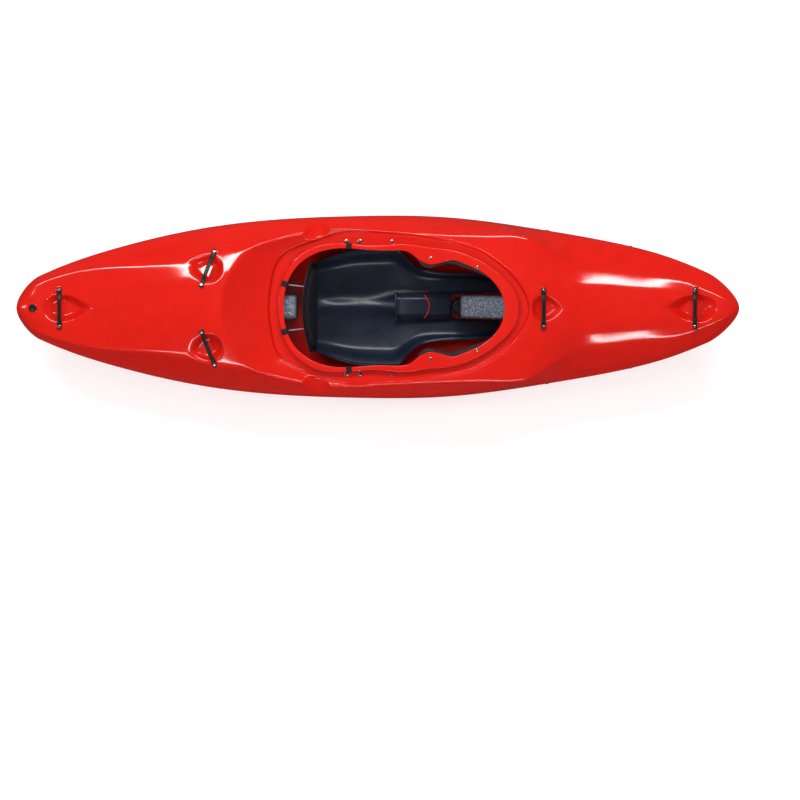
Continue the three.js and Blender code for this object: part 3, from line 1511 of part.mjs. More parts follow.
// Foot brace: a plate with a foam face, whose flanges slide between two rails on the hull's sides
const railThickness = 4;
const railWidth = 22;
const railFootHalf = 12;
const railRamp = 40;
const railStandoff = 15;
const railSeatGap = 1.2;
const plateThickness = 5;
const footPadThickness = 20;
const flangeLength = 45;
const flangeThickness = 3;

const railSlope = (railBoltForeHeight - railBoltAftHeight) / (railBoltFore - railBoltAft);
const railHeightAt = (x) => railBoltAftHeight + railSlope * (x - railBoltAft);

function railSeat(x) {
  const low = sidePoint(x, railHeightAt(x) - railWidth / 2).at.y;
  const high = sidePoint(x, railHeightAt(x) + railWidth / 2).at.y;
  return Math.min(low, high) - shellWall - railSeatGap - railThickness / 2;
}

const railSpread = railSeat(railBoltFore) - railStandoff;

function footRail(side) {
  const line = [
    [railBoltAft - railFootHalf, railSeat(railBoltAft - railFootHalf)],
    [railBoltAft + railFootHalf, railSeat(railBoltAft + railFootHalf)],
    [railBoltAft + railRamp, railSpread],
    [railBoltFore - railRamp, railSpread],
    [railBoltFore - railFootHalf, railSeat(railBoltFore - railFootHalf)],
    [railBoltFore + railFootHalf, railSeat(railBoltFore + railFootHalf)],
  ];
  const rings = line.map(([x, y], i) => {
    const before = line[Math.max(i - 1, 0)];
    const after = line[Math.min(i + 1, line.length - 1)];
    const run = new THREE.Vector2(after[0] - before[0], after[1] - before[1]);
    run.normalize().multiplyScalar(railThickness / 2);
    const low = railHeightAt(x) - railWidth / 2;
    const high = railHeightAt(x) + railWidth / 2;
    return [
      new THREE.Vector3(x - run.y, side * (y + run.x), low),
      new THREE.Vector3(x + run.y, side * (y - run.x), low),
      new THREE.Vector3(x + run.y, side * (y - run.x), high),
      new THREE.Vector3(x - run.y, side * (y + run.x), high),
    ];
  });
  let rail = toSolid(loft(rings)).intersect(fillSpace);
  for (const fixing of fixings.filter(({ name }) => name.startsWith("rail_bolt"))) {
    if (fixing.at.y * side > 0) {
      const hole = rod(railBolt.shank + screwGap, -overrun, overrun, fixing.at, fixing.out, boltSides);
      rail = rail.subtract(toSolid(hole));
    }
  }
  return rail;
}

// The plate's outline from its foot up, as shares of its half width and of its half height
const plateSideGap = 5;
const plateHalfWidth = railSpread - railThickness / 2 - plateSideGap;
const plateHalfHeight = 98;
const plateShares = [
  [0, -0.94], [0.645, -0.94], [0.918, -0.53], [1, -0.245], [1, 0.347], [0.82, 0.735], [0.568, 1], [0, 1],
];

function platePolygon(inset) {
  const half = plateShares.map(([across, up]) => [
    Math.max(plateHalfWidth * across - inset, 0),
    plateHalfHeight * up - Math.sign(up) * inset,
  ]);
  const other = half.slice(1, -1).reverse().map(([y, z]) => [-y, z]);
  return half.concat(other).map(([y, z]) => new THREE.Vector2(y, z));
}

function acrossPlate(inset, thickness, x) {
  const turn = new THREE.Matrix4().makeBasis(sideways, upward, new THREE.Vector3(1, 0, 0));
  turn.setPosition(x, 0, railHeightAt(railPlace));
  return plate(new THREE.Shape(platePolygon(inset)), thickness, turn);
}

function footPlate() {
  let solid = toSolid(acrossPlate(0, plateThickness, railPlace));
  for (const side of [1, -1]) {
    const outer = railSpread - railThickness / 2 - seatGap;
    const rows = [railPlace, railPlace + flangeLength].map((x) => {
      const middle = railHeightAt(x);
      const inner = outer - flangeThickness * 2;
      return [x, side * inner, side * outer, middle - railWidth / 2, middle + railWidth / 2];
    });
    solid = solid.add(toSolid(frameLoft(rows)));
  }
  return solid;
}

piece("foot_rail_port", toGeometry(footRail(1)), greyAluminium);
piece("foot_rail_starboard", toGeometry(footRail(-1)), greyAluminium);
piece("foot_plate", toGeometry(footPlate()), greyAluminium);
piece("foot_pad", acrossPlate(padInset, footPadThickness, railPlace - footPadThickness - seatGap), blackFoam);

export default kayak;
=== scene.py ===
# %% [markdown]
# # A whitewater kayak, worked out as surfaces
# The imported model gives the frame: one body for the hull and its fixed outfitting, and one for each
# piece that slides or turns. Here every visible surface gets its fine form and its finish.
# Numbers are in millimetres, as a boat builder would write them, and become metres in the mesh.

# %% Frame
import json
import math
import bmesh
import bpy
import numpy as np
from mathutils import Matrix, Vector


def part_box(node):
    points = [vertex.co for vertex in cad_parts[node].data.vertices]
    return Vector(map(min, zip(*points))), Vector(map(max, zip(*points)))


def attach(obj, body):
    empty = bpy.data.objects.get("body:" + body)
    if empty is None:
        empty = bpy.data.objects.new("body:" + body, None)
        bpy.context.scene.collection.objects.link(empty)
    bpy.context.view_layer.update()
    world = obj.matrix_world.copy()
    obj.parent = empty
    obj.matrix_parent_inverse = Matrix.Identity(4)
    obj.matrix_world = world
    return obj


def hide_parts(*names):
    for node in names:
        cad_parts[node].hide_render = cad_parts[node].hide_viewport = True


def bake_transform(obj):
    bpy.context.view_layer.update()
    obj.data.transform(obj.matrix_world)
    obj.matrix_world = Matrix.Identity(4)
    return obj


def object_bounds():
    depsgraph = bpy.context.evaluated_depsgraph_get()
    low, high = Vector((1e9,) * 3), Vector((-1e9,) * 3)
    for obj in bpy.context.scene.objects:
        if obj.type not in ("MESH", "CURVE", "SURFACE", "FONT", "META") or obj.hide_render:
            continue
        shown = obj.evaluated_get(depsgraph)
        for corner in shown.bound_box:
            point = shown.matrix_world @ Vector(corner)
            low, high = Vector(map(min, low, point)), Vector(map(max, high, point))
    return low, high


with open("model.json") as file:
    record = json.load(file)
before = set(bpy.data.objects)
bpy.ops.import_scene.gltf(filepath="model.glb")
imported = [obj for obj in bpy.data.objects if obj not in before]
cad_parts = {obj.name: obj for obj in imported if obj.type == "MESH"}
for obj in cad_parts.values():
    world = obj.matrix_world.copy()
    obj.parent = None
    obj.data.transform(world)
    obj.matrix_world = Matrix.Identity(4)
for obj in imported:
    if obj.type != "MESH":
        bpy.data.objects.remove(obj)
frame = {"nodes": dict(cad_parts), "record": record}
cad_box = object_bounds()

MM = 0.001
SIDES = {"port": 1, "starboard": -1}

# %% [markdown]
# ## Camera
# The photograph looks down on the boat through a long lens, from a few degrees over the port side,
# with the bow to the right. A long lens keeps the near and far sides at one scale, as it does there.
# The camera stands well back and a narrow field gives the same framing.

# %% Camera
VIEW_CENTRE = Vector((0.080, -0.327, 0.300))
VIEW_WIDTH = 2.842
VIEW_TILT = math.radians(3.0)
VIEW_DISTANCE = 12.0

camera_data = bpy.data.cameras.new("plan_camera")
camera_data.sensor_width = 36.0
camera_data.lens = camera_data.sensor_width * VIEW_DISTANCE / VIEW_WIDTH
camera_data.clip_end = 60.0
camera = bpy.data.objects.new("plan_camera", camera_data)
bpy.context.collection.objects.link(camera)
line_of_sight = Vector((0.0, math.sin(VIEW_TILT), math.cos(VIEW_TILT)))
camera.location = VIEW_CENTRE + line_of_sight * VIEW_DISTANCE
camera.rotation_euler = (-VIEW_TILT, 0.0, 0.0)
bpy.context.scene.camera = camera
print("lens", round(camera_data.lens, 1), "mm at", round(VIEW_DISTANCE, 1), "m")

# %% [markdown]
# ## Floor and light
# A studio picture of a glossy boat is mostly a picture of its lights. Two long soft boxes run along the
# boat and draw the pale streaks on the edges of the deck. A wide one above only fills the cockpit: it is
# kept out of reflections, as a flag or a scrim would keep it in a studio. Floor and room look pale to the
# eye and to soft light, and dark in reflections, so the red of the sides stays deep.

# %% Floor
FLOOR_SIZE, FLOOR_GAP = 24.0, 0.002


def by_ray(tree, kind, others, these):
    """Mix two shaders by the kind of ray: these for rays of the kind named, and others for all the rest."""
    rays, mix = tree.nodes.new("ShaderNodeLightPath"), tree.nodes.new("ShaderNodeMixShader")
    for source, socket in zip((rays.outputs[kind], others, these), mix.inputs):
        tree.links.new(source, socket)
    return mix.outputs[0]


def studio_floor(size, height):
    """A flat square of the given size at a height: pale, but dark in reflections."""
    corner = np.array([[-1, -1], [1, -1], [1, 1], [-1, 1]]) * size / 2
    mesh = bpy.data.meshes.new("studio_floor")
    mesh.from_pydata([(x, y, height) for x, y in corner], [], [(0, 1, 2, 3)])
    floor = bpy.data.objects.new("studio_floor", mesh)
    bpy.context.collection.objects.link(floor)
    paint = bpy.data.materials.new("pale_floor")
    paint.use_nodes = True
    tree = paint.node_tree
    shader = tree.nodes["Principled BSDF"]
    shader.inputs["Base Color"].default_value = (0.7, 0.7, 0.7, 1)
    shader.inputs["Roughness"].default_value = 0.9
    shader.inputs["Emission Color"].default_value = (1.0, 1.0, 1.0, 1)
    shader.inputs["Emission Strength"].default_value = 0.5
    dull = tree.nodes.new("ShaderNodeBsdfDiffuse")
    dull.inputs["Color"].default_value = (0.05, 0.05, 0.05, 1)
    surface = by_ray(tree, "Is Glossy Ray", shader.outputs[0], dull.outputs[0])
    tree.links.new(surface, tree.nodes["Material Output"].inputs["Surface"])
    mesh.materials.append(paint)
    return floor


floor = studio_floor(FLOOR_SIZE, cad_box[0][2] - FLOOR_GAP)
print("floor at", floor.data.vertices[0].co.z)

# %% [markdown]
# An area light shines along its own -Z axis, so each one is turned until that axis meets its target. Sizes
# are in metres and powers in watts. A box that is long and narrow draws a streak, and not a patch.

# %% Lights
def soft_box(name, place, target, size, power, reflected=True):
    """A rectangular area light at a place, turned to face a target point, and seen in gloss or not."""
    data = bpy.data.lights.new(name, "AREA")
    data.shape = "RECTANGLE"
    data.size, data.size_y = size
    data.energy = power
    lamp = bpy.data.objects.new(name, data)
    lamp.location = place
    lamp.rotation_euler = (Vector(place) - Vector(target)).to_track_quat("Z", "Y").to_euler()
    lamp.visible_glossy = reflected
    bpy.context.collection.objects.link(lamp)
    return lamp


boxes = [
    soft_box("port_box", (-0.2, 2.3, 3.2), (0.0, 0.0, 0.3), (5.0, 0.36), 158),
    soft_box("starboard_box", (0.0, -2.7, 2.9), (0.0, 0.0, 0.3), (3.8, 0.12), 52),
    soft_box("bow_box", (3.7, 0.4, 1.5), (1.0, 0.0, 0.3), (0.3, 1.4), 16, reflected=False),
    soft_box("stern_box", (-2.9, 0.1, 2.6), (-1.0, 0.0, 0.3), (0.25, 1.2), 10),
    soft_box("fill_box", (0.0, 0.4, 4.2), (0.0, 0.0, 0.2), (3.4, 2.0), 28, reflected=False),
]
print("lights:", [box.name for box in boxes])

# %% [markdown]
# The room is a world shader with three strengths: one for the light that it gives, a dimmer one in
# reflections, and a bright one for the camera, which sees it as the white ground of the photograph.

# %% Room
ROOM_LIGHT, ROOM_REFLECTED, ROOM_SEEN = 0.24, 0.12, 0.68

room = bpy.data.worlds.new("pale_room")
room.use_nodes = True
tree = room.node_tree
given_light = tree.nodes["Background"]
given_light.inputs["Color"].default_value = (0.97, 0.98, 1.0, 1)
reflected, seen = tree.nodes.new("ShaderNodeBackground"), tree.nodes.new("ShaderNodeBackground")
for part, strength in ((given_light, ROOM_LIGHT), (reflected, ROOM_REFLECTED), (seen, ROOM_SEEN)):
    part.inputs["Strength"].default_value = strength
lit = by_ray(tree, "Is Glossy Ray", given_light.outputs[0], reflected.outputs[0])
surface = by_ray(tree, "Is Camera Ray", lit, seen.outputs[0])
tree.links.new(surface, tree.nodes["World Output"].inputs["Surface"])
bpy.context.scene.world = room
bpy.context.scene.view_settings.view_transform = "Standard"
print("room strengths:", ROOM_LIGHT, ROOM_REFLECTED, ROOM_SEEN)

# %% [markdown]
# ## Helpers
# A surface here is a grid of points: rows follow one parameter, columns the other. Such a grid could be
# pushed about by hand in Blender, but worked out as numbers it can be changed by changing one curve. The
# helpers turn a grid into a mesh in one go, with arrays and not point by point, close its open rings, and
# hand a finished piece to the body that carries it.

# %% Meshes from grids
def grid_faces(rows, columns, close_rows=False, close_columns=False):
    """Quads of a grid with the given rows and columns, wrapped round where it closes."""
    i = np.arange(rows if close_rows else rows - 1)[:, None]
    k = np.arange(columns if close_columns else columns - 1)[None, :]
    i2, k2 = (i + 1) % rows, (k + 1) % columns
    quads = [i * columns + k, i2 * columns + k, i2 * columns + k2, i * columns + k2]
    return np.stack(np.broadcast_arrays(*quads), -1).reshape(-1, 4)


def mesh_object(name, points, faces, smooth=True):
    """An object from an array of points in millimetres and a list of face arrays, all quads or triangles."""
    points = np.asarray(points, float).reshape(-1, 3) * MM
    groups = [np.asarray(group, np.int64) for group in faces if len(group)]
    loops = np.concatenate([group.ravel() for group in groups])
    sizes = np.concatenate([np.full(len(group), group.shape[1]) for group in groups])
    used = np.unique(loops)
    renumber = np.zeros(len(points), np.int64)
    renumber[used] = np.arange(len(used))
    loops, points = renumber[loops], points[used]
    mesh = bpy.data.meshes.new(name)
    mesh.vertices.add(len(points))
    mesh.vertices.foreach_set("co", points.ravel())
    mesh.loops.add(len(loops))
    mesh.loops.foreach_set("vertex_index", loops.astype(np.int32))
    mesh.polygons.add(len(sizes))
    mesh.polygons.foreach_set("loop_start", (np.cumsum(sizes) - sizes).astype(np.int32))
    mesh.polygons.foreach_set("use_smooth", np.full(len(sizes), smooth))
    mesh.update(calc_edges=True)
    mesh.validate()
    thing = bpy.data.objects.new(name, mesh)
    bpy.context.collection.objects.link(thing)
    return thing


def sealed(thing):
    """Close the open rings of a piece with flat faces, and turn every face outwards."""
    work = bmesh.new()
    work.from_mesh(thing.data)
    bmesh.ops.holes_fill(work, edges=[edge for edge in work.edges if edge.is_boundary], sides=0)
    bmesh.ops.recalc_face_normals(work, faces=work.faces)
    work.to_mesh(thing.data)
    work.free()
    return thing


replaced = set()


def finish_piece(thing, body, material, slot, *nodes):
    """Give a piece its material, the body that it rides on, if any, and its nodes; the slot is not used."""
    thing.data.materials.clear()
    thing.data.materials.append(material)
    if body:
        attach(thing, body)
    if nodes:
        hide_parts(*nodes)
        replaced.update(nodes)
    print(thing.name, len(thing.data.polygons), "faces on", body)
    return thing


print("faces of a grid of 3 by 4 points:", len(grid_faces(3, 4)))

# %% [markdown]
# Boat builders bend a thin batten round a few pins to draw a fair line. A natural cubic spline is that
# batten in numbers. A quadratic B-spline is only pulled towards its control points, so it rounds the corners
# of a section by itself.

# %% Curves
def spline(table):
    """A natural cubic spline through the rows of a table: bending is zero at both ends."""
    x, y = np.array(table, float).T
    h = np.diff(x)
    system = np.eye(len(x))
    inner = np.arange(1, len(x) - 1)
    system[inner, inner - 1], system[inner, inner + 1] = h[:-1], h[1:]
    system[inner, inner] = 2 * (h[:-1] + h[1:])
    slope = np.diff(y) / h
    bend = np.linalg.solve(system, np.concatenate([[0], 6 * np.diff(slope), [0]]))

    def line(at):
        """The height of the batten at any place, from the two pins beside it."""
        at = np.asarray(at, float)
        k = np.clip(np.searchsorted(x, at) - 1, 0, len(x) - 2)
        a = (x[k + 1] - at) / h[k]
        b = 1 - a
        return a * y[k] + b * y[k + 1] + ((a ** 3 - a) * bend[k] + (b ** 3 - b) * bend[k + 1]) * h[k] ** 2 / 6

    return line


def smoothstep(t):
    """0 below 0, 1 above 1 and an even S between: 3t squared less 2t cubed."""
    t = np.clip(t, 0, 1)
    return t * t * (3 - 2 * t)


def soft_min(a, b, width):
    """The lower of two heights, with the crease between them rounded over a width."""
    h = np.clip(0.5 + 0.5 * (b - a) / width, 0, 1)
    return b * (1 - h) + a * h - width * h * (1 - h)


def quadratic_curve(controls, places):
    """Points of a clamped quadratic B-spline over rows of controls; place 1.5 is halfway along leg two."""
    last = len(controls) - 3
    leg = np.clip(np.floor(places).astype(int), 0, last)
    t = (places - leg)[:, None, None]
    middle = (controls[:-1] + controls[1:]) / 2
    start = np.where((leg == 0)[:, None, None], controls[0], middle[leg])
    stop = np.where((leg == last)[:, None, None], controls[-1], middle[leg + 1])
    return (1 - t) ** 2 * start + 2 * t * (1 - t) * controls[leg + 1] + t ** 2 * stop


print("halfway up a smooth step:", smoothstep(0.5))

# %% [markdown]
# ## The lines of the hull
# A designer draws a boat as a few long curves: how wide it is, where its crown, its ridge and its chine
# run, and how far it is rockered. Each curve below is a table of shares of the length, beam or height.
# Any cross-section then follows from the values of those curves at one place along the boat. Blender's own
# curves could be skinned too, but a formula can be asked for its value anywhere, as the deck's is below.

# %% Lines of the hull
LENGTH, BEAM, HEIGHT = 2565.0, 654.0, 389.0
HALF, HALF_BEAM = LENGTH / 2, BEAM / 2
WALL = 5.0
STERN_TIP, BOW_TIP = 287.0, 309.0
STERN_ROUND, BOW_ROUND = 80.0, 110.0
FLAT_AFT, FLAT_FORE = -80.0, 350.0
STERN_RISE, BOW_RISE = 252.0, 278.0
PANEL_HALF = 112.0

beam_line = spline([
    [-1, 0.23], [-0.89, 0.43], [-0.72, 0.655], [-0.5, 0.855], [-0.28, 0.96], [-0.05, 0.998],
    [0.1, 1], [0.22, 0.975], [0.44, 0.86], [0.66, 0.706], [0.83, 0.522], [0.94, 0.335], [1, 0.22]])
parting_line = spline([
    [-1, 0.66], [-0.6, 0.527], [-0.17, 0.48], [0.02, 0.467], [0.36, 0.48], [0.6, 0.523],
    [0.78, 0.59], [0.9, 0.675], [1, 0.765]])
crown_line = spline([
    [-1, 0.84], [-0.9, 0.805], [-0.72, 0.853], [-0.5, 0.962], [-0.43, 0.985], [-0.37, 0.945],
    [-0.3, 0.861], [-0.19, 0.765], [-0.06, 0.75], [0.02, 0.787], [0.09, 0.838], [0.18, 0.897],
    [0.27, 0.95], [0.34, 0.974], [0.41, 0.974], [0.48, 0.946], [0.6, 0.877], [0.74, 0.848],
    [0.86, 0.846], [0.95, 0.905], [1, 0.96]])
ridge_height_line = spline([
    [-1, 0.78], [-0.84, 0.794], [-0.7, 0.822], [-0.59, 0.86], [-0.5, 0.868], [-0.41, 0.87],
    [-0.31, 0.833], [-0.21, 0.763], [-0.06, 0.72], [0.02, 0.765], [0.09, 0.815], [0.18, 0.872],
    [0.27, 0.905], [0.34, 0.915], [0.41, 0.907], [0.5, 0.838], [0.6, 0.794], [0.74, 0.776],
    [0.85, 0.807], [0.95, 0.895], [1, 0.945]])
ridge_width_line = spline([
    [-1, 0.16], [-0.88, 0.345], [-0.73, 0.448], [-0.6, 0.478], [-0.52, 0.53], [-0.45, 0.62],
    [-0.39, 0.635], [-0.3, 0.69], [-0.2, 0.805], [-0.1, 0.85], [0.02, 0.83], [0.2, 0.8],
    [0.34, 0.8], [0.4, 0.785], [0.46, 0.67], [0.53, 0.495], [0.62, 0.42], [0.74, 0.368],
    [0.86, 0.268], [0.94, 0.14], [1, 0.08]])
chine_width_line = spline([
    [-1, 0.62], [-0.6, 0.7], [-0.2, 0.82], [0.15, 0.86], [0.5, 0.82], [0.8, 0.7], [1, 0.6]])
chine_rise_line = spline([
    [-1, 0.08], [-0.6, 0.15], [-0.2, 0.085], [0.15, 0.08], [0.5, 0.095], [0.75, 0.16], [1, 0.08]])
panel_line = spline([
    [-1, 0.16], [-0.6, 0.42], [-0.1, 0.96], [0.2, 1], [0.5, 0.78], [0.8, 0.4], [1, 0.2]])
rim_line = spline([
    [-0.3, 0.71], [-0.25, 0.708], [-0.16, 0.718], [-0.07, 0.738], [0.01, 0.79], [0.1, 0.864],
    [0.18, 0.926], [0.25, 0.967], [0.32, 0.992], [0.42, 0.992]])


def keel_height(x):
    """The rocker: flat under the seat, rising as a power of the share of the way to each tip."""
    aft = np.clip((FLAT_AFT - x) / (HALF + FLAT_AFT), 0, None)
    fore = np.clip((x - FLAT_FORE) / (HALF - FLAT_FORE), 0, None)
    return STERN_RISE * aft ** 2.4 + BOW_RISE * (0.73 * fore ** 2 + 0.27 * fore ** 6)


def tip_round(x):
    """A quarter circle over the last stretch before each tip: 1 along the hull and 0 at the tips."""
    radius = np.where(x < 0, STERN_ROUND, BOW_ROUND)
    left = np.clip(HALF - np.abs(x), 0, None)
    return np.sqrt(np.clip(1 - np.clip((radius - left) / radius, 0, 1) ** 2, 0, 1))


def section_controls(x):
    """Eleven control points of half a section at each x: keel, panel, chine, side, ridge and crown."""
    u = x / HALF
    beam, keel = HALF_BEAM * beam_line(u), keel_height(x)
    parting, crown = HEIGHT * parting_line(u), HEIGHT * crown_line(u)
    ridge_z, ridge_y = HEIGHT * ridge_height_line(u), HALF_BEAM * ridge_width_line(u)
    panel = np.minimum(PANEL_HALF * panel_line(u), beam * 0.5)
    chine_y, chine_z = beam * chine_width_line(u), keel + HEIGHT * chine_rise_line(u)
    low, high = parting - 0.38 * (parting - chine_z), parting + 0.24 * (ridge_z - parting)
    zero = np.zeros_like(x)
    y = [zero, panel * 0.5, panel, chine_y, beam, beam, ridge_y + 0.12 * (beam - ridge_y),
         ridge_y, ridge_y * 0.9, ridge_y * 0.42, zero]
    z = [keel, keel, keel, chine_z, low, high, ridge_z - 0.09 * (ridge_z - high),
         ridge_z, ridge_z + 0.22 * (crown - ridge_z), crown, crown]
    return np.stack([np.array(y), np.array(z)], -1)


def half_section(x, places):
    """Points of half a section: a quadratic B-spline, drawn in towards the tip's height at both ends."""
    points = quadratic_curve(section_controls(x), places)
    drawn = tip_round(x)
    tip = np.where(x < 0, STERN_TIP, BOW_TIP)
    return points[..., 0] * drawn, tip + (points[..., 1] - tip) * drawn


def deck_height(x, y):
    """Height of the plain deck over points of the plan, read off each point's own section."""
    x, across = np.ravel(x).astype(float), np.abs(np.ravel(y))
    wide, high = half_section(x, np.linspace(4.5, 9, 73))
    height = high[0].copy()
    for k in range(len(wide) - 1):
        inside = (across <= wide[k]) & (across >= wide[k + 1])
        share = (across - wide[k + 1]) / np.maximum(wide[k] - wide[k + 1], 1e-6)
        height = np.where(inside, high[k + 1] + (high[k] - high[k + 1]) * share, height)
    return height


print("deck over the middle:", deck_height([-1127, -597, 585, 1125], [0, 139, 0, 0]).round(1))

# %% [markdown]
# ## The cockpit's outlines
# The opening, the lip and the channel round the cockpit are closed curves about one centre. Curve objects
# could draw them. In polar form each is a radius that changes with the angle, so they can also be blended
# and offset like numbers.

# %% Cockpit outlines
COCKPIT_X, COCKPIT_LENGTH, COCKPIT_WIDTH = 57.0, 782.0, 418.0
RIM_THICK, RIM_ROLL = 5.0, 11.0
NECK_INSET, NECK_WALL = 18.0, 5.0
CHANNEL_DEPTH, CHANNEL_STEP, STEP_WIDTH = 24.0, 12.0, 9.0
BOWL_SLOPE, BOWL_CURVE = 0.45, 625.0


def polar_line(shares):
    """The radius of an outline at any angle, from points given for its port half."""
    along, across = np.array(shares).T
    x, y = along * COCKPIT_LENGTH / 2, across * COCKPIT_WIDTH / 2
    angle, radius = np.arctan2(y, x), np.hypot(x, y)
    angle = np.concatenate([-angle[2:0:-1], angle, 2 * np.pi - angle[-2:-4:-1]])
    radius = np.concatenate([radius[2:0:-1], radius, radius[-2:-4:-1]])
    line = spline(np.stack([angle, radius], -1))
    return lambda turn: line(np.abs((np.asarray(turn) + np.pi) % (2 * np.pi) - np.pi))


opening_radius = polar_line([
    [1, 0], [0.954, 0.316], [0.9, 0.45], [0.816, 0.589], [0.703, 0.699], [0.616, 0.766], [0.519, 0.809],
    [0.432, 0.772], [0.363, 0.74], [0.294, 0.756], [0.225, 0.823], [0.138, 0.943], [0.005, 0.976],
    [-0.338, 1], [-0.68, 0.943], [-0.895, 0.66], [-1, 0]])
lip_radius = polar_line([
    [1.13, 0], [1.095, 0.287], [0.99, 0.526], [0.834, 0.746], [0.747, 0.837], [0.573, 0.962],
    [0.312, 1.03], [0.12, 1.085], [-0.325, 1.075], [-0.72, 1.033], [-0.94, 0.72], [-1.049, 0]])
channel_radius = polar_line([
    [1.21, 0], [1.148, 0.34], [1.066, 0.545], [0.918, 0.789], [0.747, 0.981], [0.58, 1.081],
    [0.194, 1.22], [-0.18, 1.273], [-0.53, 1.24], [-0.678, 1.148], [-0.86, 1.029], [-1.023, 0.833],
    [-1.1, 0.45], [-1.128, 0]])


def neck_radius(turn):
    """The neck stands inside the lip, and never inside the opening's own edge."""
    return np.maximum(opening_radius(turn) + NECK_WALL * 1.2, lip_radius(turn) - NECK_INSET)


def rim_height(x):
    """Height of the lip's middle at each x, held level beyond the two ends of the cockpit."""
    return HEIGHT * rim_line(np.clip(np.asarray(x) / HALF, -0.3, 0.42))


def bowl_height(x, outside):
    """The channel floor, a step up at its edge, and then a slope that steepens with the distance outside."""
    far = np.clip(outside, 0, None)
    rise = CHANNEL_STEP * smoothstep(outside / STEP_WIDTH) + BOWL_SLOPE * far + far ** 2 / BOWL_CURVE
    return rim_height(x) - CHANNEL_DEPTH + rise


def cockpit_polar(x, y):
    """Angle and distance of points of the plan from the middle of the cockpit."""
    return np.arctan2(y, x - COCKPIT_X), np.hypot(x - COCKPIT_X, y)


print("opening abeam:", opening_radius(np.pi / 2).round(1), "lip:", lip_radius(np.pi / 2).round(1))

# %% [markdown]
# ## Recesses of the deck
# The finished deck is the plain one cut down by other height fields: the bowl round the cockpit, a scoop
# in each side deck and a hollow under each grab bar. Booleans would cut them too, but would leave slivers
# where surfaces meet at a low angle. A soft minimum of two heights rounds the crease, as a mould does.

# %% Recesses of the deck
SCOOP_X, SCOOP_HALF, SCOOP_TOP = -214.0, 58.0, 300.0
SCOOP_INNER, SCOOP_OUTER = 246.0, 350.0
SCOOP_INNER_FLOOR, SCOOP_OUTER_FLOOR = 262.0, 205.0
SCOOP_WALL = 3.0
HOLLOW_DEPTH, HOLLOW_FLOOR, FLOOR_ROUND = 26.0, 0.6, 9.0
BAR_WIDTH, BAR_SPACING = 16.0, 130.0
CREASE = 7.0
COCKPIT_REACH, SCOOP_REACH, HOLLOW_REACH = 700.0, 1.6, 1.6


def across_bar(x):
    """Both ends of a bar that lies square across the boat at an x."""
    return [(x, -BAR_SPACING / 2), (x, BAR_SPACING / 2)]


BAR_TABLE = {
    "stern_bar": dict(ends=across_bar(-1127), long=78, wide=48, shift=22, point=1, power=0.7, rise=2.5),
    "foredeck_bar": dict(ends=across_bar(585), long=56, wide=45, shift=15, point=1, power=0.7, rise=2.5),
    "bow_bar": dict(ends=across_bar(1125), long=74, wide=48, shift=10, point=-1, power=0.7, rise=7),
}
SLANTED = dict(long=60, wide=49, shift=7, point=-1, power=0.35, rise=2.5)
BAR_TABLE["port_bar"] = dict(SLANTED, ends=[(-619, 79), (-574, 199)])
BAR_TABLE["starboard_bar"] = dict(SLANTED, ends=[(-574, -199), (-619, -79)])


def bar_frame(ends):
    """Middle and axes of a bar: along it from starboard to port, back to the stern, and up from the deck."""
    xy = np.array(ends, float)
    first, last = np.column_stack([xy, deck_height(xy[:, 0], xy[:, 1])])
    middle = (first + last) / 2
    along = (last - first) / np.linalg.norm(last - first)
    reach = np.array([-BAR_WIDTH, BAR_WIDTH])
    heights = deck_height(middle[0] + reach, np.full(2, middle[1]))
    back = np.array([2 * reach[0], 0, heights[0] - heights[1]])
    up = np.cross(along, back)
    up /= np.linalg.norm(up)
    return middle, np.stack([along, np.cross(up, along), up])


BAR_FRAMES = {name: bar_frame(bar["ends"]) for name, bar in BAR_TABLE.items()}


def teardrop_share(across, along, power):
    """How large a unit teardrop must grow to pass through each point, by bisection.

    The teardrop is (sin t times a power of sin t/2, cos t), spread until it is as wide as it is long.
    """
    widest = 2 * math.sqrt(1 + power) / (2 + power) * ((1 + power) / (2 + power)) ** (power / 2)
    side = lambda t: np.sin(t) * np.sin(t / 2) ** power / widest
    low, high = np.zeros_like(across), np.full_like(across, np.pi)
    for _ in range(24):
        turn = (low + high) / 2
        beyond = across * np.cos(turn) - along * side(turn) > 0
        low, high = np.where(beyond, turn, low), np.where(beyond, high, turn)
    return np.hypot(across, along) / np.maximum(np.hypot(side(turn), np.cos(turn)), 1e-6)


def hollow_height(name, x, y, z):
    """Height of a bar's hollow over points of the plan: walls that flare from a flat floor."""
    bar, (middle, axes) = BAR_TABLE[name], BAR_FRAMES[name]
    height = z.copy()
    for _ in range(3):
        local = np.stack([x - middle[0], y - middle[1], height - middle[2]], -1) @ axes.T
        along = (-bar["point"] * local[..., 1] - bar["shift"]) / bar["long"]
        share = teardrop_share(np.abs(local[..., 0]) / bar["wide"], along, bar["power"])
        wall = HOLLOW_DEPTH * (share - 1) / (1 - HOLLOW_FLOOR)
        floor = -soft_min(-wall, np.full_like(wall, HOLLOW_DEPTH), FLOOR_ROUND)
        height = height - (local[..., 2] - floor) / axes[2, 2]
    return height


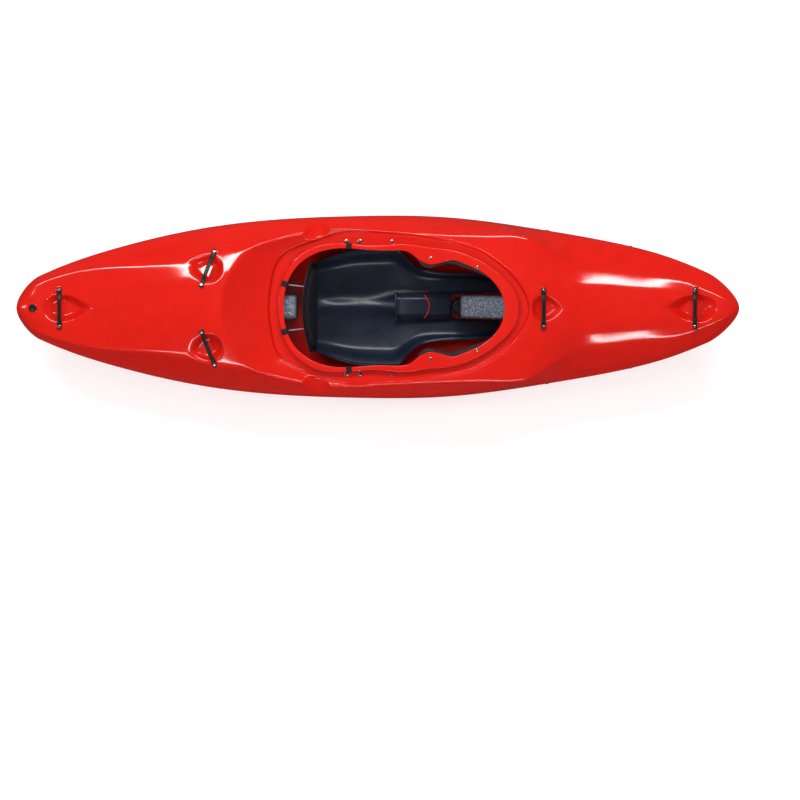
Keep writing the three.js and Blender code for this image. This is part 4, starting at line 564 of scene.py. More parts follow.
def finished_deck(x, y, z, crease=CREASE):
    """The deck cut down by the bowl, by both scoops and by the five hollows."""
    turn, radius = cockpit_polar(x, y)
    near = radius < COCKPIT_REACH
    bowl = np.full_like(z, 1e3)
    bowl[near] = bowl_height(x[near], radius[near] - channel_radius(turn[near]))
    z = np.where(near, soft_min(z, bowl, crease), z)
    t, out = (x - SCOOP_X) / SCOOP_HALF, np.abs(y)
    fall = (SCOOP_INNER_FLOOR - SCOOP_OUTER_FLOOR) / (SCOOP_OUTER - SCOOP_INNER)
    floor = SCOOP_INNER_FLOOR - fall * (out - SCOOP_INNER)
    scoop = SCOOP_TOP - (SCOOP_TOP - floor) * (1 - t * t) + SCOOP_WALL * np.clip(SCOOP_INNER - out, 0, None)
    z = np.where(np.abs(t) < SCOOP_REACH, soft_min(z, scoop, crease), z)
    for name, bar in BAR_TABLE.items():
        middle = BAR_FRAMES[name][0]
        close = np.hypot(x - middle[0], y - middle[1]) < HOLLOW_REACH * bar["long"] + bar["shift"]
        if close.any():
            hollow = hollow_height(name, x[close], y[close], z[close])
            z[close] = soft_min(z[close], hollow, crease)
    return z


print("bars at", {name: place[0].round(0).tolist() for name, place in BAR_FRAMES.items()})

# %% [markdown]
# ## The shell
# The hull is moulded in one piece, with a faint line along the side where the two halves of the mould met.
# Here the part below that line and the part above it are two grids over the same stations. Stations lie
# closer together where the deck has detail, and each section is re-spaced along its finished curve.
# A subdivided box could be sculpted to this shape, but its creases would wander: here they follow curves.

# %% Shell
TIP_GAP = 0.3
PLAIN_STEP, TIP_STEP, STERN_GROWTH, BOW_GROWTH = 7.5, 0.25, 0.12, 0.09
FINE_STEPS = [(-640, -150, 3.0), (-1215, -1030, 3.4), (530, 670, 3.4), (1035, 1215, 3.4)]
DECK_COLUMNS, BOTTOM_COLUMNS = 84, 44
SINK_MARGIN, SINK_SLOPE, SINK_DEPTH = 3.0, 0.7, 5.0


def stations():
    """Places along the hull: a step that depends on the detail there, finer again towards both tips."""
    places = [-HALF + TIP_GAP]
    while places[-1] < HALF - TIP_GAP:
        x = places[-1]
        step = next((size for low, high, size in FINE_STEPS if low <= x < high), PLAIN_STEP)
        growth = BOW_GROWTH if x > 0 else STERN_GROWTH
        places.append(x + min(step, TIP_STEP + growth * (HALF - abs(x))))
    return np.clip(np.array(places), -HALF + TIP_GAP, HALF - TIP_GAP)


def respaced(rows, count):
    """Points along each row of a grid moved so that they lie evenly along its curve."""
    steps = np.linalg.norm(np.diff(rows, axis=0), axis=-1)
    length = np.concatenate([np.zeros((1, rows.shape[1])), np.cumsum(steps, axis=0)])
    out = np.empty((count,) + rows.shape[1:])
    for k in range(rows.shape[1]):
        at = np.linspace(0, length[-1, k], count)
        for c in range(3):
            out[:, k, c] = np.interp(at, length[:, k], rows[:, k, c])
    return out


def half_skin(x, first, last, samples):
    """Port half of the skin between two places of the section: an array of columns by stations by xyz."""
    y, z = half_section(x, np.linspace(first, last, samples))
    return np.stack([np.broadcast_to(x, y.shape), y, z], -1)


def both_sides(half):
    """A grid of a half and its mirror image, with the middle column shared."""
    mirror = half[-2::-1] * np.array([1, -1, 1])
    return np.concatenate([half, mirror])


def shell_deck(x, columns, samples=420):
    """The deck from the mould line to the middle, finished and re-spaced, port and starboard."""
    half = half_skin(x, 4, 9, samples)
    flat = half.reshape(-1, 3)
    flat[:, 2] = finished_deck(flat[:, 0], flat[:, 1], flat[:, 2])
    return respaced(flat.reshape(half.shape), columns)


def sink_under_coaming(points):
    """Let the deck down by a steady slope inside the edge of the channel, which the coaming covers."""
    turn, radius = cockpit_polar(points[..., 0], points[..., 1])
    outside = radius - channel_radius(turn)
    points[..., 2] -= np.clip((STEP_WIDTH + SINK_MARGIN - outside) * SINK_SLOPE, 0, SINK_DEPTH)
    return points


def inside_neck(points):
    """Which points of the deck lie inside the neck of the coaming, where the deck has its opening."""
    turn, radius = cockpit_polar(points[..., 0], points[..., 1])
    return radius < neck_radius(turn)


station_x = stations()
deck_grid = sink_under_coaming(both_sides(shell_deck(station_x, DECK_COLUMNS)))
whole_deck = grid_faces(*deck_grid.shape[:2])
deck_flat = deck_grid.reshape(-1, 3)
deck_faces = whole_deck[~inside_neck(deck_flat)[whole_deck].all(axis=1)]
hull_deck = mesh_object("hull_deck", deck_flat, [deck_faces])
bottom_grid = both_sides(respaced(half_skin(station_x, 4, 0, 240), BOTTOM_COLUMNS))
bottom_faces = grid_faces(*bottom_grid.shape[:2])[:, ::-1]
hull_bottom = mesh_object("hull_bottom", bottom_grid, [bottom_faces])
print("stations", len(station_x), "deck", len(deck_faces), "bottom", len(bottom_faces))

# %% [markdown]
# The coaming is swept round the cockpit: a flat lip with its outer edge rolled down, a neck that rises out
# of the channel on a fillet, the floor of the channel and the step up to the bowl. Each ring of the sweep
# is a distance from one of the outlines and a height above the channel or below the rim. A bent tube would
# not do: the lip is wider at the sides than at the ends, and only rings that follow two outlines show that.

# %% Coaming
NECK_FILLET = 6.0
RIM_TURNS = np.linspace(0, 2 * np.pi, 720, endpoint=False)


def arc(centre, radius, start, stop, steps):
    """Points on a circular arc, with its angles given in degrees."""
    turn = np.radians(np.linspace(start, stop, steps))
    return np.stack([centre[0] + radius * np.cos(turn), centre[1] + radius * np.sin(turn)], -1)


def coaming_rows(turn):
    """Rings of the coaming from the foot of the neck's inner wall, over the lip and out into the bowl."""
    inner, outer, neck = opening_radius(turn), lip_radius(turn), neck_radius(turn)
    channel = channel_radius(turn)
    half_wall = NECK_WALL / 2
    rows = []

    def ring(radius, drop):
        """Add one ring: its distance from the middle of the cockpit, and its height from the rim."""
        x, y = COCKPIT_X + radius * np.cos(turn), radius * np.sin(turn)
        rows.append(np.stack([x, y, rim_height(x) + drop], -1))

    for drop in np.linspace(-CHANNEL_DEPTH - WALL, -RIM_THICK - 3, 6):
        ring(neck - half_wall, drop)
    for offset, drop in arc((-3, -RIM_THICK - 3), 3, 0, 90, 4):
        ring(np.maximum(neck - half_wall + offset, inner + 1.5), drop)
    for offset, drop in arc((RIM_THICK / 2, -RIM_THICK / 2), RIM_THICK / 2, -90, -270, 9):
        ring(inner + offset, drop)
    for share in np.linspace(0.12, 0.88, 9):
        ring(inner + RIM_THICK / 2 + share * (outer - inner - RIM_THICK), 0.5 * np.sin(np.pi * share))
    for offset, drop in arc((-3.5, -3.5), 3.5, 90, 0, 7):
        ring(outer + offset, drop)
    ring(outer, -RIM_ROLL + 2)
    for offset, drop in arc((-2, -RIM_ROLL + 1.5), 2, 0, -180, 7):
        ring(outer + offset, drop)
    for offset, drop in arc((-RIM_THICK - 2.5, -RIM_THICK - 2.5), 2.5, 0, 90, 5):
        ring(outer + offset, drop)
    for offset, drop in arc((4, -RIM_THICK - 4), 4, 90, 180, 5):
        ring(neck + half_wall + offset, drop)
    for offset, drop in arc((NECK_FILLET, -CHANNEL_DEPTH + NECK_FILLET), NECK_FILLET, 180, 270, 7):
        ring(neck + half_wall + offset, drop)
    start = neck + half_wall + NECK_FILLET
    for share in (0.25, 0.5, 0.75):
        ring(start + share * np.maximum(channel - start - 1, 1), -CHANNEL_DEPTH)
    for outside in np.linspace(-1, STEP_WIDTH + 7, 18):
        radius = np.maximum(channel + outside, start + 1)
        x, y = COCKPIT_X + radius * np.cos(turn), radius * np.sin(turn)
        z = finished_deck(x, y, deck_height(x, y))
        sunk = np.clip((outside - STEP_WIDTH - 3) * 0.45, 0, 2.2)
        rows.append(np.stack([x, y, z - sunk], -1))
    return np.array(rows)


coaming_grid = coaming_rows(RIM_TURNS)
coaming_faces = grid_faces(*coaming_grid.shape[:2], close_columns=True)
coaming = mesh_object("coaming", coaming_grid, [coaming_faces])
print("coaming", len(coaming_faces), "faces")

# %% [markdown]
# The inside of the shell is the outside moved in by the wall. It shows through the cockpit, red as well.
# A Solidify modifier would give a wall everywhere at once, but its inner copy would pass through the
# outfitting at every crease. This skin is coarser, and it stops at the foot of the neck.

# %% Inner skin
INNER_STEP, INNER_INSET, INNER_BOTTOM, INNER_DECK = 9.0, 60.0, 24, 56


def vertex_normals(grid):
    """Unit normals of a grid, from the cross product of its two directions."""
    rows, columns = np.gradient(grid, axis=0), np.gradient(grid, axis=1)
    normal = np.cross(rows, columns)
    return normal / np.maximum(np.linalg.norm(normal, axis=-1, keepdims=True), 1e-9)


def inner_skin(x):
    """The skin a wall further in, as one grid round the port half from the keel to the middle of the deck."""
    bottom = respaced(half_skin(x, 0, 4, 120), INNER_BOTTOM)
    deck = shell_deck(x, INNER_DECK, 200)
    half = np.concatenate([bottom, deck[1:]])
    ring = np.concatenate([half, half[-2:0:-1] * np.array([1, -1, 1])])
    normal = vertex_normals(np.concatenate([ring[-1:], ring, ring[:1]]))[1:-1]
    return ring - normal * WALL


inner_grid = inner_skin(np.arange(-HALF + INNER_INSET, HALF - INNER_INSET, INNER_STEP))
inner_turn, inner_radius = cockpit_polar(inner_grid[..., 0], inner_grid[..., 1])
above_seat = inner_grid[..., 2] > 150
hole = above_seat & (inner_radius < neck_radius(inner_turn))
whole_inner = grid_faces(*inner_grid.shape[:2], close_rows=True)[:, ::-1]
inner_flat, hole_flat = inner_grid.reshape(-1, 3), hole.ravel()
inner_faces = whole_inner[~hole_flat[whole_inner].all(axis=1)]
snapped = np.zeros(len(hole_flat), bool)
snapped[inner_faces.ravel()] = True
snapped &= hole_flat
edge = inner_turn.ravel()[snapped]
inner_flat[snapped, 0] = COCKPIT_X + neck_radius(edge) * np.cos(edge)
inner_flat[snapped, 1] = neck_radius(edge) * np.sin(edge)
inner_flat[snapped, 2] = rim_height(inner_flat[snapped, 0]) - CHANNEL_DEPTH - WALL
hull_inner = mesh_object("hull_inner", inner_flat, [inner_faces])
print("inner skin", len(inner_faces), "faces")

# %% [markdown]
# ## Finishes
# The shell is rotomoulded polyethylene: glossy, with the faint orange peel of the mould. The outfitting is
# duller moulded plastic, foam, webbing and cord. Small wear keeps the surfaces from looking computed. In
# Blender a material is a graph of nodes. One function adds any node and feeds it, and short ones name the
# few kinds that come up again and again.

# %% Shader nodes
def new_material(name):
    """An empty material, its node tree to build on, and its Principled shader."""
    paint = bpy.data.materials.new(name)
    paint.use_nodes = True
    return paint, paint.node_tree, paint.node_tree.nodes["Principled BSDF"]


def feed(tree, socket, source):
    """Link a socket to another one, or give it a plain value."""
    if isinstance(source, bpy.types.NodeSocket):
        tree.links.new(source, socket)
    else:
        socket.default_value = source


def add_node(tree, kind, output, inputs, operation=None):
    """Add a node of a kind, feed its inputs by name or number, and return one of its outputs."""
    node = tree.nodes.new("ShaderNode" + kind)
    if operation:
        node.operation = operation
    for name, source in inputs.items():
        feed(tree, node.inputs[name], source)
    return node.outputs[output]


def noise(tree, vector, scale, detail=3.0):
    """Soft noise from 0 to 1 over a vector: a larger scale gives smaller spots."""
    return add_node(tree, "TexNoise", "Fac", {"Vector": vector, "Scale": scale, "Detail": detail})


def bump(tree, height, strength, distance):
    """A normal that leans as if the surface rose by a height, over a distance in metres."""
    return add_node(tree, "Bump", "Normal", {"Height": height, "Strength": strength, "Distance": distance})


def calculated(tree, operation, first, second):
    """A Math node over two sources, each a socket or a number."""
    return add_node(tree, "Math", "Value", {0: first, 1: second}, operation)


def spread(tree, value, middle, low, high):
    """A value whose middle part is spread in a straight line from low to high, and held beyond it."""
    inputs = {"Value": value, "From Min": middle[0], "From Max": middle[1], "To Min": low, "To Max": high}
    return add_node(tree, "MapRange", "Result", inputs)


def shaded(tree, colour, factor):
    """A colour made lighter or darker by a factor."""
    return add_node(tree, "VectorMath", "Vector", {0: colour, "Scale": factor}, "SCALE")


def ramp(tree, value, stops):
    """A colour ramp over a value, from (position, colour) stops."""
    node = tree.nodes.new("ShaderNodeValToRGB")
    elements = node.color_ramp.elements
    while len(elements) < len(stops):
        elements.new(0.5)
    for element, (position, colour) in zip(elements, stops):
        element.position, element.color = position, (*colour, 1)
    tree.links.new(value, node.inputs["Fac"])
    return node.outputs["Color"]


print("node helpers ready, for Blender", bpy.app.version_string)

# %% [markdown]
# An effect that several materials share is a node group: it is built once, with named sockets, and each
# material places it with values of its own. Nearly everything here is moulded, so one group gives the
# uneven shade, the uneven gloss and the fine grain of moulded surfaces.

# %% Group for moulded surfaces
SHADE_SCALE, GLOSS_SCALE, GLOSS_SWING = 18.0, 60.0, 0.15
NOISE_MIDDLE = (0.3, 0.7)


def node_group(name, inputs, outputs):
    """An empty shader node group with named inputs, from (name, kind) rows, and named outputs."""
    group = bpy.data.node_groups.new(name, "ShaderNodeTree")
    for way, sockets in (("INPUT", inputs), ("OUTPUT", outputs)):
        for label, kind in sockets:
            group.interface.new_socket(name=label, in_out=way, socket_type="NodeSocket" + kind)
    return group, group.nodes.new("NodeGroupInput").outputs, group.nodes.new("NodeGroupOutput").inputs


def mottled_grain_group():
    """Shade = colour * (1 + mottle * n) and gloss = roughness * (1 + swing * m), over a fine grain.

    The values n and m run from -1 to 1 over two noises, a broad one for the shade and a closer one.
    """
    group, given, result = node_group(
        "mottled_grain",
        [("Color", "Color"), ("Mottle", "Float"), ("Roughness", "Float"), ("Grain", "Float"),
         ("Depth", "Float"), ("Strength", "Float")],
        [("Color", "Color"), ("Roughness", "Float"), ("Normal", "Vector")])
    vector = add_node(group, "TexCoord", "Object", {})
    broad = spread(group, noise(group, vector, SHADE_SCALE), NOISE_MIDDLE, -1.0, 1.0)
    factor = calculated(group, "ADD", calculated(group, "MULTIPLY", broad, given["Mottle"]), 1.0)
    feed(group, result["Color"], shaded(group, given["Color"], factor))
    worn = spread(group, noise(group, vector, GLOSS_SCALE), NOISE_MIDDLE, 1 - GLOSS_SWING, 1 + GLOSS_SWING)
    feed(group, result["Roughness"], calculated(group, "MULTIPLY", worn, given["Roughness"]))
    fine = noise(group, vector, given["Grain"], 2.0)
    feed(group, result["Normal"], bump(group, fine, given["Strength"], given["Depth"]))
    return group


MOTTLED_GRAIN = mottled_grain_group()
print("sockets:", [item.name for item in MOTTLED_GRAIN.interface.items_tree])

# %% [markdown]
# The backband's cover and the straps are woven. In a plain weave the threads pass over and under each other
# like a checker board, which two sets of waves across each other give, whichever is the higher.

# %% Group for woven surfaces
WEAVE_TURN, WEAVE_LEAN = 0.4, (0.5, 0.6)
THREAD_MIDDLE, THREAD_PAINTED_LIGHT_AND_SHADE = (0.35, 0.9), (0.5, 1.5)


def weave_group():
    """A plain weave: the higher of two waves across each other raises each thread, with painted light on top
    and painted shade in the gaps.
    """
    group, given, result = node_group("weave", [("Color", "Color"), ("Scale", "Float")],
                                      [("Color", "Color"), ("Normal", "Vector")])
    vector = add_node(group, "TexCoord", "Object", {})
    waves = []
    for turn in (0.0, math.pi / 2):
        rotation = (*WEAVE_LEAN, turn + WEAVE_TURN)
        bands = add_node(group, "Mapping", "Vector", {"Vector": vector, "Rotation": rotation})
        waves.append(add_node(group, "TexWave", "Fac", {"Vector": bands, "Scale": given["Scale"]}))
    threads = calculated(group, "MAXIMUM", *waves)
    # Painted light and shade: the colour is lighter on the raised threads and darker in the gaps between
    # them.
    factor = spread(group, threads, THREAD_MIDDLE, *THREAD_PAINTED_LIGHT_AND_SHADE)
    feed(group, result["Color"], shaded(group, given["Color"], factor))
    feed(group, result["Normal"], bump(group, threads, 0.6, 0.0004))
    return group


WEAVE = weave_group()
print("sockets:", [item.name for item in WEAVE.interface.items_tree])

# %% [markdown]
# A finish is a material: a group with this finish's colour and grain, and the constants on the shader
# itself. The grey foam is unlike the rest. It is cut from blocks of beads, so each cell of a Voronoi pattern
# takes its own shade.

# %% Finishes
CELL_SCALE, THREAD_PITCH, WAVES_PER_THREAD = 300.0, 0.0021, 0.31


def place_group(tree, group, values):
    """Place a group in a material with its own values, and feed its outputs to the shader's like inputs."""
    node = tree.nodes.new("ShaderNodeGroup")
    node.node_tree = group
    for label, value in values.items():
        node.inputs[label].default_value = value
    for output in node.outputs:
        socket = "Base Color" if output.name == "Color" else output.name
        tree.links.new(output, tree.nodes["Principled BSDF"].inputs[socket])


def moulded(name, colour, roughness, metallic=0.0, specular=0.5, grain=400.0, depth=0.0002, strength=0.3,
            mottle=0.12):
    """A finish with one colour: its shade and gloss vary a little, over a fine grain."""
    paint, tree, shader = new_material(name)
    place_group(tree, MOTTLED_GRAIN, {
        "Color": (*colour, 1), "Mottle": mottle, "Roughness": roughness, "Grain": grain,
        "Depth": depth, "Strength": strength})
    shader.inputs["Metallic"].default_value = metallic
    shader.inputs["Specular IOR Level"].default_value = specular
    return paint


def speckled(name, dark, middle, pale):
    """Beaded foam: every cell of a Voronoi pattern has its own shade, and its wall is a small ridge."""
    paint, tree, shader = new_material(name)
    cells = tree.nodes.new("ShaderNodeTexVoronoi")
    cells.inputs["Scale"].default_value = CELL_SCALE
    feed(tree, cells.inputs["Vector"], add_node(tree, "TexCoord", "Object", {}))
    shade = add_node(tree, "SeparateColor", 0, {"Color": cells.outputs["Color"]})
    colour = ramp(tree, shade, [(0.1, dark), (0.5, middle), (0.78, middle), (0.97, pale)])
    feed(tree, shader.inputs["Base Color"], colour)
    feed(tree, shader.inputs["Roughness"], 0.9)
    feed(tree, shader.inputs["Normal"], bump(tree, cells.outputs["Distance"], 0.5, 0.0012))
    return paint


def woven(name, colour, roughness):
    """Woven cloth or webbing, with its threads at a small pitch."""
    paint, tree, shader = new_material(name)
    place_group(tree, WEAVE, {"Color": (*colour, 1), "Scale": WAVES_PER_THREAD / THREAD_PITCH})
    shader.inputs["Roughness"].default_value = roughness
    shader.inputs["Specular IOR Level"].default_value = 0.25
    return paint


MOULDED = {
    "red_shell": dict(colour=(0.60, 0.010, 0.005), roughness=0.115, grain=240.0, strength=0.06, mottle=0.04),
    "navy_plastic": dict(colour=(0.009, 0.015, 0.032), roughness=0.33, mottle=0.25),
    "black_plastic": dict(colour=(0.005, 0.005, 0.006), roughness=0.45, specular=0.3),
    "black_foam": dict(colour=(0.012, 0.012, 0.014), roughness=0.85, grain=900.0, depth=0.0008, strength=0.6),
    "red_cord": dict(colour=(0.55, 0.015, 0.012), roughness=0.75, grain=1500.0, depth=0.0004),
    "grey_cord": dict(colour=(0.28, 0.29, 0.31), roughness=0.8, grain=1500.0, depth=0.0004),
    "bright_steel": dict(colour=(0.62, 0.63, 0.65), roughness=0.22, metallic=1.0, grain=120.0, strength=0.05),
    "aluminium": dict(colour=(0.45, 0.46, 0.48), roughness=0.38, metallic=1.0, grain=300.0, strength=0.1),
}
FINISHES = {name: moulded(name, **values) for name, values in MOULDED.items()}
FINISHES["grey_foam"] = speckled("grey_foam", (0.05, 0.058, 0.078), (0.125, 0.145, 0.185), (0.34, 0.38, 0.46))
FINISHES["black_fabric"] = woven("black_fabric", (0.006, 0.0065, 0.010), 0.85)
FINISHES["webbing"] = woven("webbing", (0.007, 0.007, 0.008), 0.7)
for shell_part in (hull_bottom, hull_deck, coaming, hull_inner):
    finish_piece(shell_part, "hull", FINISHES["red_shell"], "red_shell", "hull_shell")
print("finishes:", len(FINISHES))

# %% [markdown]
# ## Outfitting
# Moulded pieces are thin skins: an upper surface, the same surface let down by the wall, and a wall along
# every open edge. Fixings are turned profiles. A Solidify or a Screw modifier could make both, but here each
# is a formula on arrays, so its edge and its ends are known and closed.

# %% Skins and turned pieces
BEVEL_ANGLE = math.radians(38)


def thick_skin(name, points, quads, thickness):
    """A closed skin: the surface, a copy let down along its normals, and a wall along its open edges."""
    points = np.round(np.asarray(points, float).reshape(-1, 3), 4)
    points, index = np.unique(points, axis=0, return_inverse=True)
    quads = index.reshape(-1)[quads]
    corner = points[quads]
    facing = np.cross(corner[:, 2] - corner[:, 0], corner[:, 3] - corner[:, 1])
    normal = np.zeros_like(points)
    for k in range(4):
        np.add.at(normal, quads[:, k], facing)
    normal /= np.maximum(np.linalg.norm(normal, axis=1, keepdims=True), 1e-9)
    edges = quads[:, [[0, 1], [1, 2], [2, 3], [3, 0]]].reshape(-1, 2)
    key = edges.min(axis=1) * len(points) + edges.max(axis=1)
    _, place, uses = np.unique(key, return_inverse=True, return_counts=True)
    a, b = edges[uses[place.reshape(-1)] == 1].T
    under = len(points)
    walls = np.stack([b, a, a + under, b + under], -1)
    return sealed(mesh_object(name, np.concatenate([points, points - normal * thickness]),
                              [quads, quads[:, ::-1] + under, walls]))


def rounded(thing, width, segments=2):
    """Round the sharp edges of a piece over a width in millimetres."""
    bevel = thing.modifiers.new("rounding", "BEVEL")
    bevel.width, bevel.segments = width * MM, segments
    bevel.limit_method, bevel.angle_limit = "ANGLE", BEVEL_ANGLE
    bevel.harden_normals = True
    return thing


def turned(profile, place, up, sides=32):
    """Grid of a profile of (radius, height) rows turned about an axis through a place."""
    up = np.asarray(up, float) / np.linalg.norm(up)
    side = np.cross(up, [1.0, 0, 0] if abs(up[0]) < 0.9 else [0, 1.0, 0])
    side /= np.linalg.norm(side)
    front = np.cross(up, side)
    turn = np.linspace(0, 2 * np.pi, sides, endpoint=False)
    ring = np.cos(turn)[:, None] * side + np.sin(turn)[:, None] * front
    radius, height = np.asarray(profile, float).T
    grid = radius[:, None, None] * ring[None] + height[:, None, None] * up + np.asarray(place, float)
    return grid, grid_faces(len(profile), sides, close_columns=True)


def joined(name, grids, smooth=True):
    """One closed object from several grids of points, each with its own faces."""
    points, faces, start = [], [], 0
    for grid, quads in grids:
        flat = grid.reshape(-1, 3)
        points.append(flat)
        faces.append(quads + start)
        start += len(flat)
    return sealed(mesh_object(name, np.concatenate(points), faces, smooth))


print("faces of a turned cone:", len(turned([(5, 0), (1, 9)], (0, 0, 0), (0, 0, 1))[1]))

# %% [markdown]
# Straps, cords, bars and pads are sections carried along a path. A bevelled curve would do this too, but it
# twists where the path bends, and a strap must stay level. A path of a few straight legs is resampled evenly,
# and its corners are eased by taking the mean of neighbouring points.

# %% Paths and sweeps
def path_length(path):
    """The length along a path up to each of its points."""
    return np.concatenate([[0], np.cumsum(np.linalg.norm(np.diff(path, axis=0), axis=1))])


def points_at(path, distances):
    """Points of a path of straight legs at distances along it."""
    length = path_length(path)
    return np.stack([np.interp(distances, length, line) for line in np.transpose(path)], -1)


def eased(path, reach):
    """A path with its corners eased: each point is the mean of all those within a reach on both sides."""
    kernel = np.ones(2 * reach + 1) / (2 * reach + 1)
    longer = np.pad(path, ((reach, reach), (0, 0)), mode="reflect", reflect_type="odd")
    return np.stack([np.convolve(line, kernel, mode="valid") for line in longer.T], -1)


def headings(path):
    """The unit direction of a path at each of its points."""
    along = np.gradient(path, axis=0)
    return along / np.linalg.norm(along, axis=1, keepdims=True)


def circle(radius, sides):
    """Points of a circle, as a section to be carried along a path."""
    turn = np.linspace(0, 2 * np.pi, sides, endpoint=False)
    return radius * np.stack([np.cos(turn), np.sin(turn)], -1)


def oblong(sides, across, up, start=0.0):
    """A unit superellipse: cosine and sine raised to powers, where a smaller power gives squarer corners."""
    turn = np.linspace(0, 2 * np.pi, sides, endpoint=False) + start
    lines = ((np.cos(turn), across), (np.sin(turn), up))
    return [np.sign(line) * np.abs(line) ** power for line, power in lines]


def rounded_end(share):
    """A quarter circle over a share: 0 at the end of a bar or pad, and 1 where its end is full."""
    return np.sqrt(1 - (1 - np.clip(share, 0, 1)) ** 2)


def swept(path, section, upward=(0, 0, 1)):
    """Rings of a section (across, up) carried along a path, kept level by an upward direction."""
    path, section = np.asarray(path, float), np.asarray(section, float)
    along = headings(path)
    across = np.cross(along, np.broadcast_to(upward, along.shape))
    across /= np.linalg.norm(across, axis=1, keepdims=True)
    over = np.cross(across, along)
    rings = path[:, None] + section[None, :, :1] * across[:, None] + section[None, :, 1:] * over[:, None]
    return rings, grid_faces(len(path), len(section), close_columns=True)


def closed_ends(rings, faces=None):
    """Close both ends of a row of rings with quads between opposite points of each end ring."""
    count, sides = rings.shape[:2]
    if faces is None:
        faces = grid_faces(count, sides, close_columns=True)
    k = np.arange(sides // 2 - 1)
    first = np.stack([k, k + 1, sides - 2 - k, sides - 1 - k], -1)
    last = first[:, ::-1] + (count - 1) * sides
    return rings, np.concatenate([faces, first, last])


def rope(path, radius, strands=3, lay=14.0, sides=24):
    """A laid or braided cord: its radius swells with each strand as the strands turn along it."""
    path = np.asarray(path, float)
    total = path_length(path)[-1]
    fine = np.linspace(0, total, max(int(total / 0.8), 8))
    dense = points_at(path, fine)
    turn = np.linspace(0, 2 * np.pi, sides, endpoint=False)
    rings, faces = swept(dense, circle(radius, sides))
    phase = strands * (turn[None, :] + 2 * np.pi * fine[:, None] / lay)
    braid = 0.9 + 0.1 * np.abs(np.sin(phase / 2)) * np.abs(np.sin(phase / 2 - fine[:, None] * 0.9)) ** 0.3
    rings = dense[:, None] + (rings - dense[:, None]) * braid[..., None]
    return closed_ends(rings, faces)


print("length of a square path:", path_length(np.array([[0, 0], [10, 0], [10, 10]]))[-1])

# %% [markdown]
# ### Seat
# The seat is one moulded skin with two hip hollows and a ridge between the legs. Its front is split to
# pass on both sides of the pillar. Cutting the split with a Boolean would leave ragged faces, so the grid
# over half the seat has one column that follows the notch, and the faces inside it are left out.

# %% Seat
SEAT_AFT, SEAT_FORE, SEAT_SKIN, SEAT_ROUND = -222.0, 440.0, 5.0, 1.6
SEAT_HALF, SEAT_SIDE, SEAT_RIDGE, SEAT_HOLLOW = 196.0, 225.0, 105.0, 80.0
SEAT_FLANGE, RIDGE_HALF = 14.0, 30.0
seat_width = spline([[0, 0.76], [0.2, 0.96], [0.379, 1], [0.447, 0.96], [0.5, 0.8], [0.553, 0.66],
                     [0.63, 0.58], [0.84, 0.54], [1, 0.5]])
seat_side = spline([[0, 0.53], [0.127, 0.78], [0.252, 0.95], [0.4, 1], [0.46, 0.97], [0.51, 0.78],
                    [0.553, 0.6], [0.62, 0.5], [0.74, 0.44], [0.841, 0.4], [1, 0.38]])
seat_hollow = spline([[0, 0.75], [0.101, 0.46], [0.252, 0.4], [0.379, 0.47], [0.505, 0.75], [0.673, 1],
                      [0.841, 0.93], [1, 0.87]])
seat_ridge = spline([[0, 0.6], [0.168, 0.44], [0.337, 0.5], [0.463, 0.8], [0.631, 1], [0.841, 0.84],
                     [1, 0.76]])
seat_spread = spline([[0, 0.3], [0.3, 0.3], [0.463, 0.6], [0.631, 1], [1, 1]])
NOTCH_AFT, NOTCH_HALF, NOTCH_ROUND = 264.0, 50.0, 15.0
INNER, OUTER = 12, 60


def seat_share(x):
    """How far along the seat each x lies: 0 at its aft edge and 1 at its front."""
    return (np.asarray(x, float) - SEAT_AFT) / (SEAT_FORE - SEAT_AFT)


def ridge_height(x):
    """Height of the ridge between the legs."""
    return SEAT_RIDGE * seat_ridge(seat_share(x))


def hollow_floor(x):
    """Height of the lowest line of a hip hollow."""
    return SEAT_HOLLOW * seat_hollow(seat_share(x))


def seat_half(x, samples):
    """Half a section of the seat's upper face at each x, from the middle out to the edge of its flange."""
    share = seat_share(x)
    wide, side = SEAT_HALF * seat_width(share), SEAT_SIDE * seat_side(share)
    hollow, ridge, crest = hollow_floor(x), ridge_height(x), RIDGE_HALF * seat_spread(share)
    y = [0 * wide, crest, crest + wide * 0.16, wide * 0.62, wide * 0.9, wide, wide + SEAT_FLANGE * 0.3,
         wide + SEAT_FLANGE]
    z = [ridge, ridge, hollow, hollow, hollow + (side - hollow) * 0.05, hollow + (side - hollow) * 0.55,
         side, side]
    controls = np.stack([np.array(y), np.array(z)], -1)
    return quadratic_curve(controls, np.linspace(0, len(y) - 2, samples))


def seat_grid(x, inner_columns, outer_columns):
    """Half the seat, with one column held on the edge of the notch at every station."""
    half = seat_half(x, 260)
    edge = NOTCH_HALF - NOTCH_ROUND + np.sqrt(
        np.clip(NOTCH_ROUND ** 2 - np.clip(NOTCH_AFT + NOTCH_ROUND - x, 0, NOTCH_ROUND) ** 2, 0, None))
    out = np.empty((inner_columns + outer_columns, len(x), 3))
    for k in range(len(x)):
        y, z = half[:, k].T
        length = path_length(half[:, k])
        at_edge = np.interp(edge[k], y[:160], length[:160])
        at = np.concatenate([np.linspace(0, at_edge, inner_columns, endpoint=False),
                             np.linspace(at_edge, length[-1], outer_columns)])
        out[:, k] = np.stack([np.full(len(at), x[k]), np.interp(at, length, y), np.interp(at, length, z)], -1)
    return out


